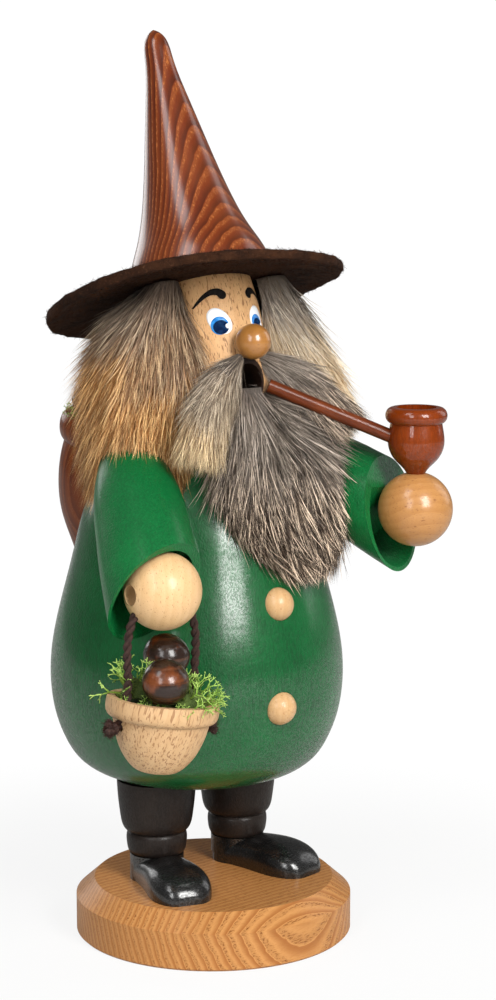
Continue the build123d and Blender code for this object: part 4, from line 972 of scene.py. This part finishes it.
# ---- moss
def sprig(name, seed, forks=3, width=0.046):
    """A branching sprig one unit long: forked three-sided twigs."""
    pick = random.Random(seed)
    points, faces, along = [], [], []

    def twig(start, way, length, size, level):
        way = unit(way)
        side = unit(np.cross(way, (0.3, 0.5, 0.8)))
        other = np.cross(way, side)
        bend = unit(way + side * pick.uniform(-0.35, 0.35) + other * pick.uniform(-0.35, 0.35))
        stops = [start, start + way * length * 0.5, start + (way * 0.5 + bend * 0.5) * length]
        first = len(points)
        for k, (stop, share) in enumerate(zip(stops, (1.0, 0.85, 0.55))):
            for a in range(3):
                points.append(stop + turned(side, other, 2 * math.pi * a / 3) * size * share)
                along.append(min(1.0, (level + k * 0.5) / (forks + 1)))
        for k in range(2):
            for a in range(3):
                b = (a + 1) % 3
                r = first + 3 * k
                faces.append((r + a, r + b, r + 3 + b, r + 3 + a))
        faces.append((first + 6, first + 7, first + 8))
        if level < forks:
            spread = pick.uniform(0, math.pi * 2)
            for turn in range(2):
                angle = spread + turn * math.pi + pick.uniform(-0.5, 0.5)
                way = bend + turned(side, other, angle) * pick.uniform(0.5, 0.95)
                twig(stops[2], way, length * pick.uniform(0.6, 0.85), size * 0.78, level + 1)

    twig(np.zeros(3), UP, 0.34, width, 0)
    piece = new_mesh(name, np.array(points) / MM, faces)
    face_outward(piece)
    set_attribute(piece, "along", "FLOAT", along)
    return piece


def mound_bed(name, middle, up, size, rise, material, reach, seed):
    """A low mound of moss: strands stand out of it."""
    up = unit(up)
    side = unit(np.cross(up, (0, 1, 0.2)))
    other = np.cross(up, side)
    rows, columns = 9, 28
    points, flows = [], []
    for r in range(rows):
        lean = (r / (rows - 1)) * math.pi * 0.5
        for c in range(columns):
            out = turned(side, other, 2 * math.pi * c / columns)
            points.append(middle + out * size * math.sin(lean + 0.02) + up * rise * math.cos(lean))
            flows.append(unit(out * math.sin(lean) + up * (0.25 + math.cos(lean))))
    points = np.array(points) + wobble(points, 0.5, seed) * 0.5
    count = len(points)
    tones = np.clip(wobble(points, 0.4, seed + 1)[:, 0] + 0.5, 0, 1)
    piece = bed_mesh(name, points, flows, np.full(count, reach), tones, np.ones(count), rows, columns, material, True)
    face_outward(piece)
    return piece


moss_bed = flat_finish("moss_bed", (0.035, 0.060, 0.010), (0.10, 0.15, 0.025), 300.0, 0.9, 0.6)
moss = strand_finish(
    "moss_twigs", ((0.10, 0.17, 0.016), (0.16, 0.24, 0.026)), ((0.17, 0.34, 0.040), (0.28, 0.46, 0.075)),
    ((0.34, 0.55, 0.11), (0.50, 0.68, 0.18)), 0.8, 0.2,
)


def moss_piece(name, mounds, body, node, density, seed):
    """Mounds of moss, each given by its middle, up, size, rise and the strands' length."""
    for k, (middle, up, size, rise, reach) in enumerate(mounds):
        shapes = [sprig(f"{name}_{k}_{n}", seed + 10 * k + n) for n in range(5)]
        bed = mound_bed(f"{name}_bed_{k}", middle, up, size, rise, moss_bed, reach, seed + k)
        piece = grow(bed, f"{name}_{k}", shapes, moss, density * plenty, seed + k, 0.45, 0.6, 3.1)
        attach(piece, body)
        if k == 0:
            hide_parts(node)


def in_basket(x, y, z):
    return basket_place + basket_x * x + basket_y * y + basket_z * z


moss_piece(
    "basket_moss_sprigs",
    [
        (in_basket(0, 0, -2.6), basket_z, 11.4, 1.8, 4.6),
        (in_basket(-6.4, 3.2, 0.4), basket_z, 4.0, 4.4, 10.0),
        (in_basket(3.8, -7.0, -0.2), basket_z + basket_x * 0.25 - basket_y * 0.5, 5.0, 3.6, 7.4),
    ],
    "basket", "basket_moss", 0.22, 51,
)
pack_top = pack_place + pack_up * 45.0
moss_piece(
    "pack_moss_sprigs", [(pack_top - pack_up * 1.9, pack_up, 11.2, 3.2, 5.6)], "figure", "backpack_moss", 0.28, 71
)


# ---- basket cord
def cord_line():
    """The cord's line: a smooth curve whose control points are the CAD's route."""
    route = [in_basket(out, 0, -cord_drop) for out in (-knot_out, -cord_inside, cord_inside, knot_out)]
    route[2:2] = [swing_place + (out, 0, 0) for out in (-cord_spread, cord_spread)]
    curve = bpy.data.curves.new("cord_line", "CURVE")
    curve.dimensions = "3D"
    curve.resolution_u = 60
    spline = curve.splines.new("NURBS")
    spline.points.add(len(route) - 1)
    for point, place in zip(spline.points, route):
        point.co = (*(place * MM), 1)
    spline.order_u = 3
    spline.use_endpoint_u = True
    return np.array([v.co for v in take_mesh(add_object("cord_line", curve)).vertices]) / MM


def even(line, step):
    """The line in even steps, and the distance along it at each."""
    lengths = np.concatenate([[0], np.cumsum(np.linalg.norm(np.diff(line, axis=0), axis=1))])
    marks = np.linspace(0, lengths[-1], max(2, int(lengths[-1] / step)))
    return read_line(marks, lengths, line), marks


def frames(line, start):
    """Two ways across the line at each of its points, carried along it without a twist."""
    ways = units(np.gradient(line, axis=0))
    side = unit(np.cross(ways[0], start))
    sides = []
    for way in ways:
        side = unit(side - way * np.dot(side, way))
        sides.append(side)
    return np.array(sides), np.cross(ways, sides)


def tube(points, faces, line, sizes, sides):
    """Adds a closed tube along line to points and faces."""
    first = len(points)
    for place, side, other, size in zip(line, *frames(line, (0.2, 1, 0.1)), sizes):
        points += [place + turned(side, other, 2 * math.pi * k / sides) * size for k in range(sides)]
    faces += [tuple(first + i for i in face) for face in grid_faces(len(line), sides, True)]
    faces.append(tuple(first + k for k in range(sides)))
    faces.append(tuple(first + (len(line) - 1) * sides + k for k in range(sides)))


def cord_piece(material, fibre):
    """Two strands twisted round each other, with a knot of lobes at each end."""
    line, marks = even(cord_line(), 0.4)
    sides, others = frames(line, (0, 1, 0))
    points, faces = [], []
    for strand in range(2):
        turn = marks * (2 * math.pi / 5.2) + strand * math.pi
        offset = sides * np.cos(turn)[:, None] + others * np.sin(turn)[:, None]
        tube(points, faces, line + offset * 0.56, np.full(len(line), 0.64), 8)
    pick = np.random.default_rng(8)
    for end in (-1, 1):
        middle = in_basket(end * knot_out, -0.2, -cord_drop)
        for k in range(9):
            start = middle + pick.normal(size=3) * 0.5
            lobe = unit((end * 0.35, -0.15 + 0.3 * pick.normal(), (-1.0 if k % 2 else 0.9) + 0.35 * pick.normal()))
            stop = start + lobe * pick.uniform(2.0, 2.9)
            steps = np.linspace(0, 1, 5)
            lobe_line = start * (1 - steps[:, None]) + stop * steps[:, None]
            tube(points, faces, lobe_line, np.interp(steps, (0, 0.6, 1), (1.0, 1.05, 0.5)), 7)
    piece = new_mesh("cord_bed", points, faces, material)
    face_outward(piece)
    count = len(piece.data.vertices)
    normals = np.array([v.normal for v in piece.data.vertices])
    ways = units(normals + np.random.default_rng(6).normal(size=(count, 3)) * 0.9)
    points = np.array([v.co for v in piece.data.vertices]) / MM
    far = np.minimum(*[np.linalg.norm(points - in_basket(end * knot_out, 0, -cord_drop), axis=1) for end in (-1, 1)])
    knotted = far < 4
    set_growth(piece, ways, np.where(knotted, 1.6, 0.9), pick.uniform(0, 1, count), np.where(knotted, 3.0, 1.0))
    return grow(piece, "twisted_cord", blades("cord_fibre", 0.06, 0.3, 4), fibre, 2.6 * plenty, 9, 0.5, 0.3, 3.1)


cord_core = flat_finish("cord_core", (0.020, 0.008, 0.006), (0.055, 0.022, 0.015), 900.0, 0.9, 0.3)
cord_fibre = strand_finish(
    "cord_fibre", ((0.015, 0.005, 0.003), (0.030, 0.010, 0.006)), ((0.026, 0.009, 0.006), (0.050, 0.018, 0.011)),
    ((0.045, 0.016, 0.010), (0.085, 0.034, 0.022)), 0.8, 0.05,
)
twist = cord_piece(cord_core, cord_fibre)
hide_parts("basket_cord")
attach(twist, "basket")


# ---- setting: floor, light and camera
def setting():
    """A pale floor that goes over into white further out, in a white room with soft light."""
    f = Finish("pale_floor")
    grain = f.noise(f.place, 9.0, 2)
    paper = f.surface(f.mix(grain.step(0.3, 0.7), (0.62, 0.62, 0.61), (0.66, 0.66, 0.65)), 0.9)
    far = (f.along((1, 0, 0)) ** 2 + f.along((0, 1, 0)) ** 2).root()
    seen = f.node("ShaderNodeLightPath", (), "Is Camera Ray")
    glow = f.node("ShaderNodeEmission", ((1, 1, 1), 1.02))
    share = seen * (0.84 + far.step(70.0, 230.0) * 0.16)
    end(f.tree, "ShaderNodeOutputMaterial", f.node("ShaderNodeMixShader", (share, paper, glow)))
    corners = np.array([(-1, -1, 0), (1, -1, 0), (1, 1, 0), (-1, 1, 0)]) * 4000.0
    floor = new_mesh("floor", corners, [(0, 1, 2, 3)], f.material)
    world = bpy.data.worlds.new("white_room")
    scene.world = world
    world.use_nodes = True
    tree = world.node_tree
    tree.nodes.clear()
    seen = make(tree, "ShaderNodeLightPath", (), "Is Camera Ray")
    soft = make(tree, "ShaderNodeBackground", ((1.0, 0.99, 0.97), 0.13))
    white_wall = make(tree, "ShaderNodeBackground", ((1, 1, 1), 1.05))
    end(tree, "ShaderNodeOutputWorld", make(tree, "ShaderNodeMixShader", (seen, soft, white_wall)))


def softbox(name, place, target_height, wide, high, watts, tint=(1, 1, 1)):
    """A lamp at place that looks at a height over the table's middle."""
    light = bpy.data.lights.new(name, "AREA")
    light.shape, light.size, light.size_y = "RECTANGLE", wide, high
    light.energy, light.color = watts, tint
    lamp = add_object(name, light)
    lamp.location = place
    lamp.rotation_euler = (Vector((0, 0, target_height)) - Vector(place)).to_track_quat("-Z", "Y").to_euler()


setting()
softbox("key", (-0.02, -0.98, 0.66), 0.13, 0.40, 0.58, 15.5, (1.0, 0.99, 0.97))
softbox("fill", (-0.90, -0.63, 0.62), 0.14, 0.32, 0.62, 5.0)
softbox("top", (-0.69, -0.19, 1.12), 0.22, 0.36, 0.60, 4.6)
softbox("rim", (1.05, -0.1, 0.55), 0.15, 0.5, 0.8, 2.0)
softbox("back", (0.0, 1.2, 0.5), 0.13, 0.6, 0.6, 3.0)

lens = bpy.data.cameras.new("camera")
lens.lens = 87.3
lens.sensor_width = 36
lens.clip_start = 0.01
camera = add_object("camera", lens)
camera.location = (-0.3717, -0.5479, 0.2293)
camera.rotation_euler = (math.radians(90 - 9.18), 0, math.radians(-35))
scene.camera = camera
scene.view_settings.view_transform = "Standard"
scene.view_settings.look = "None"

bpy.context.view_layer.update()
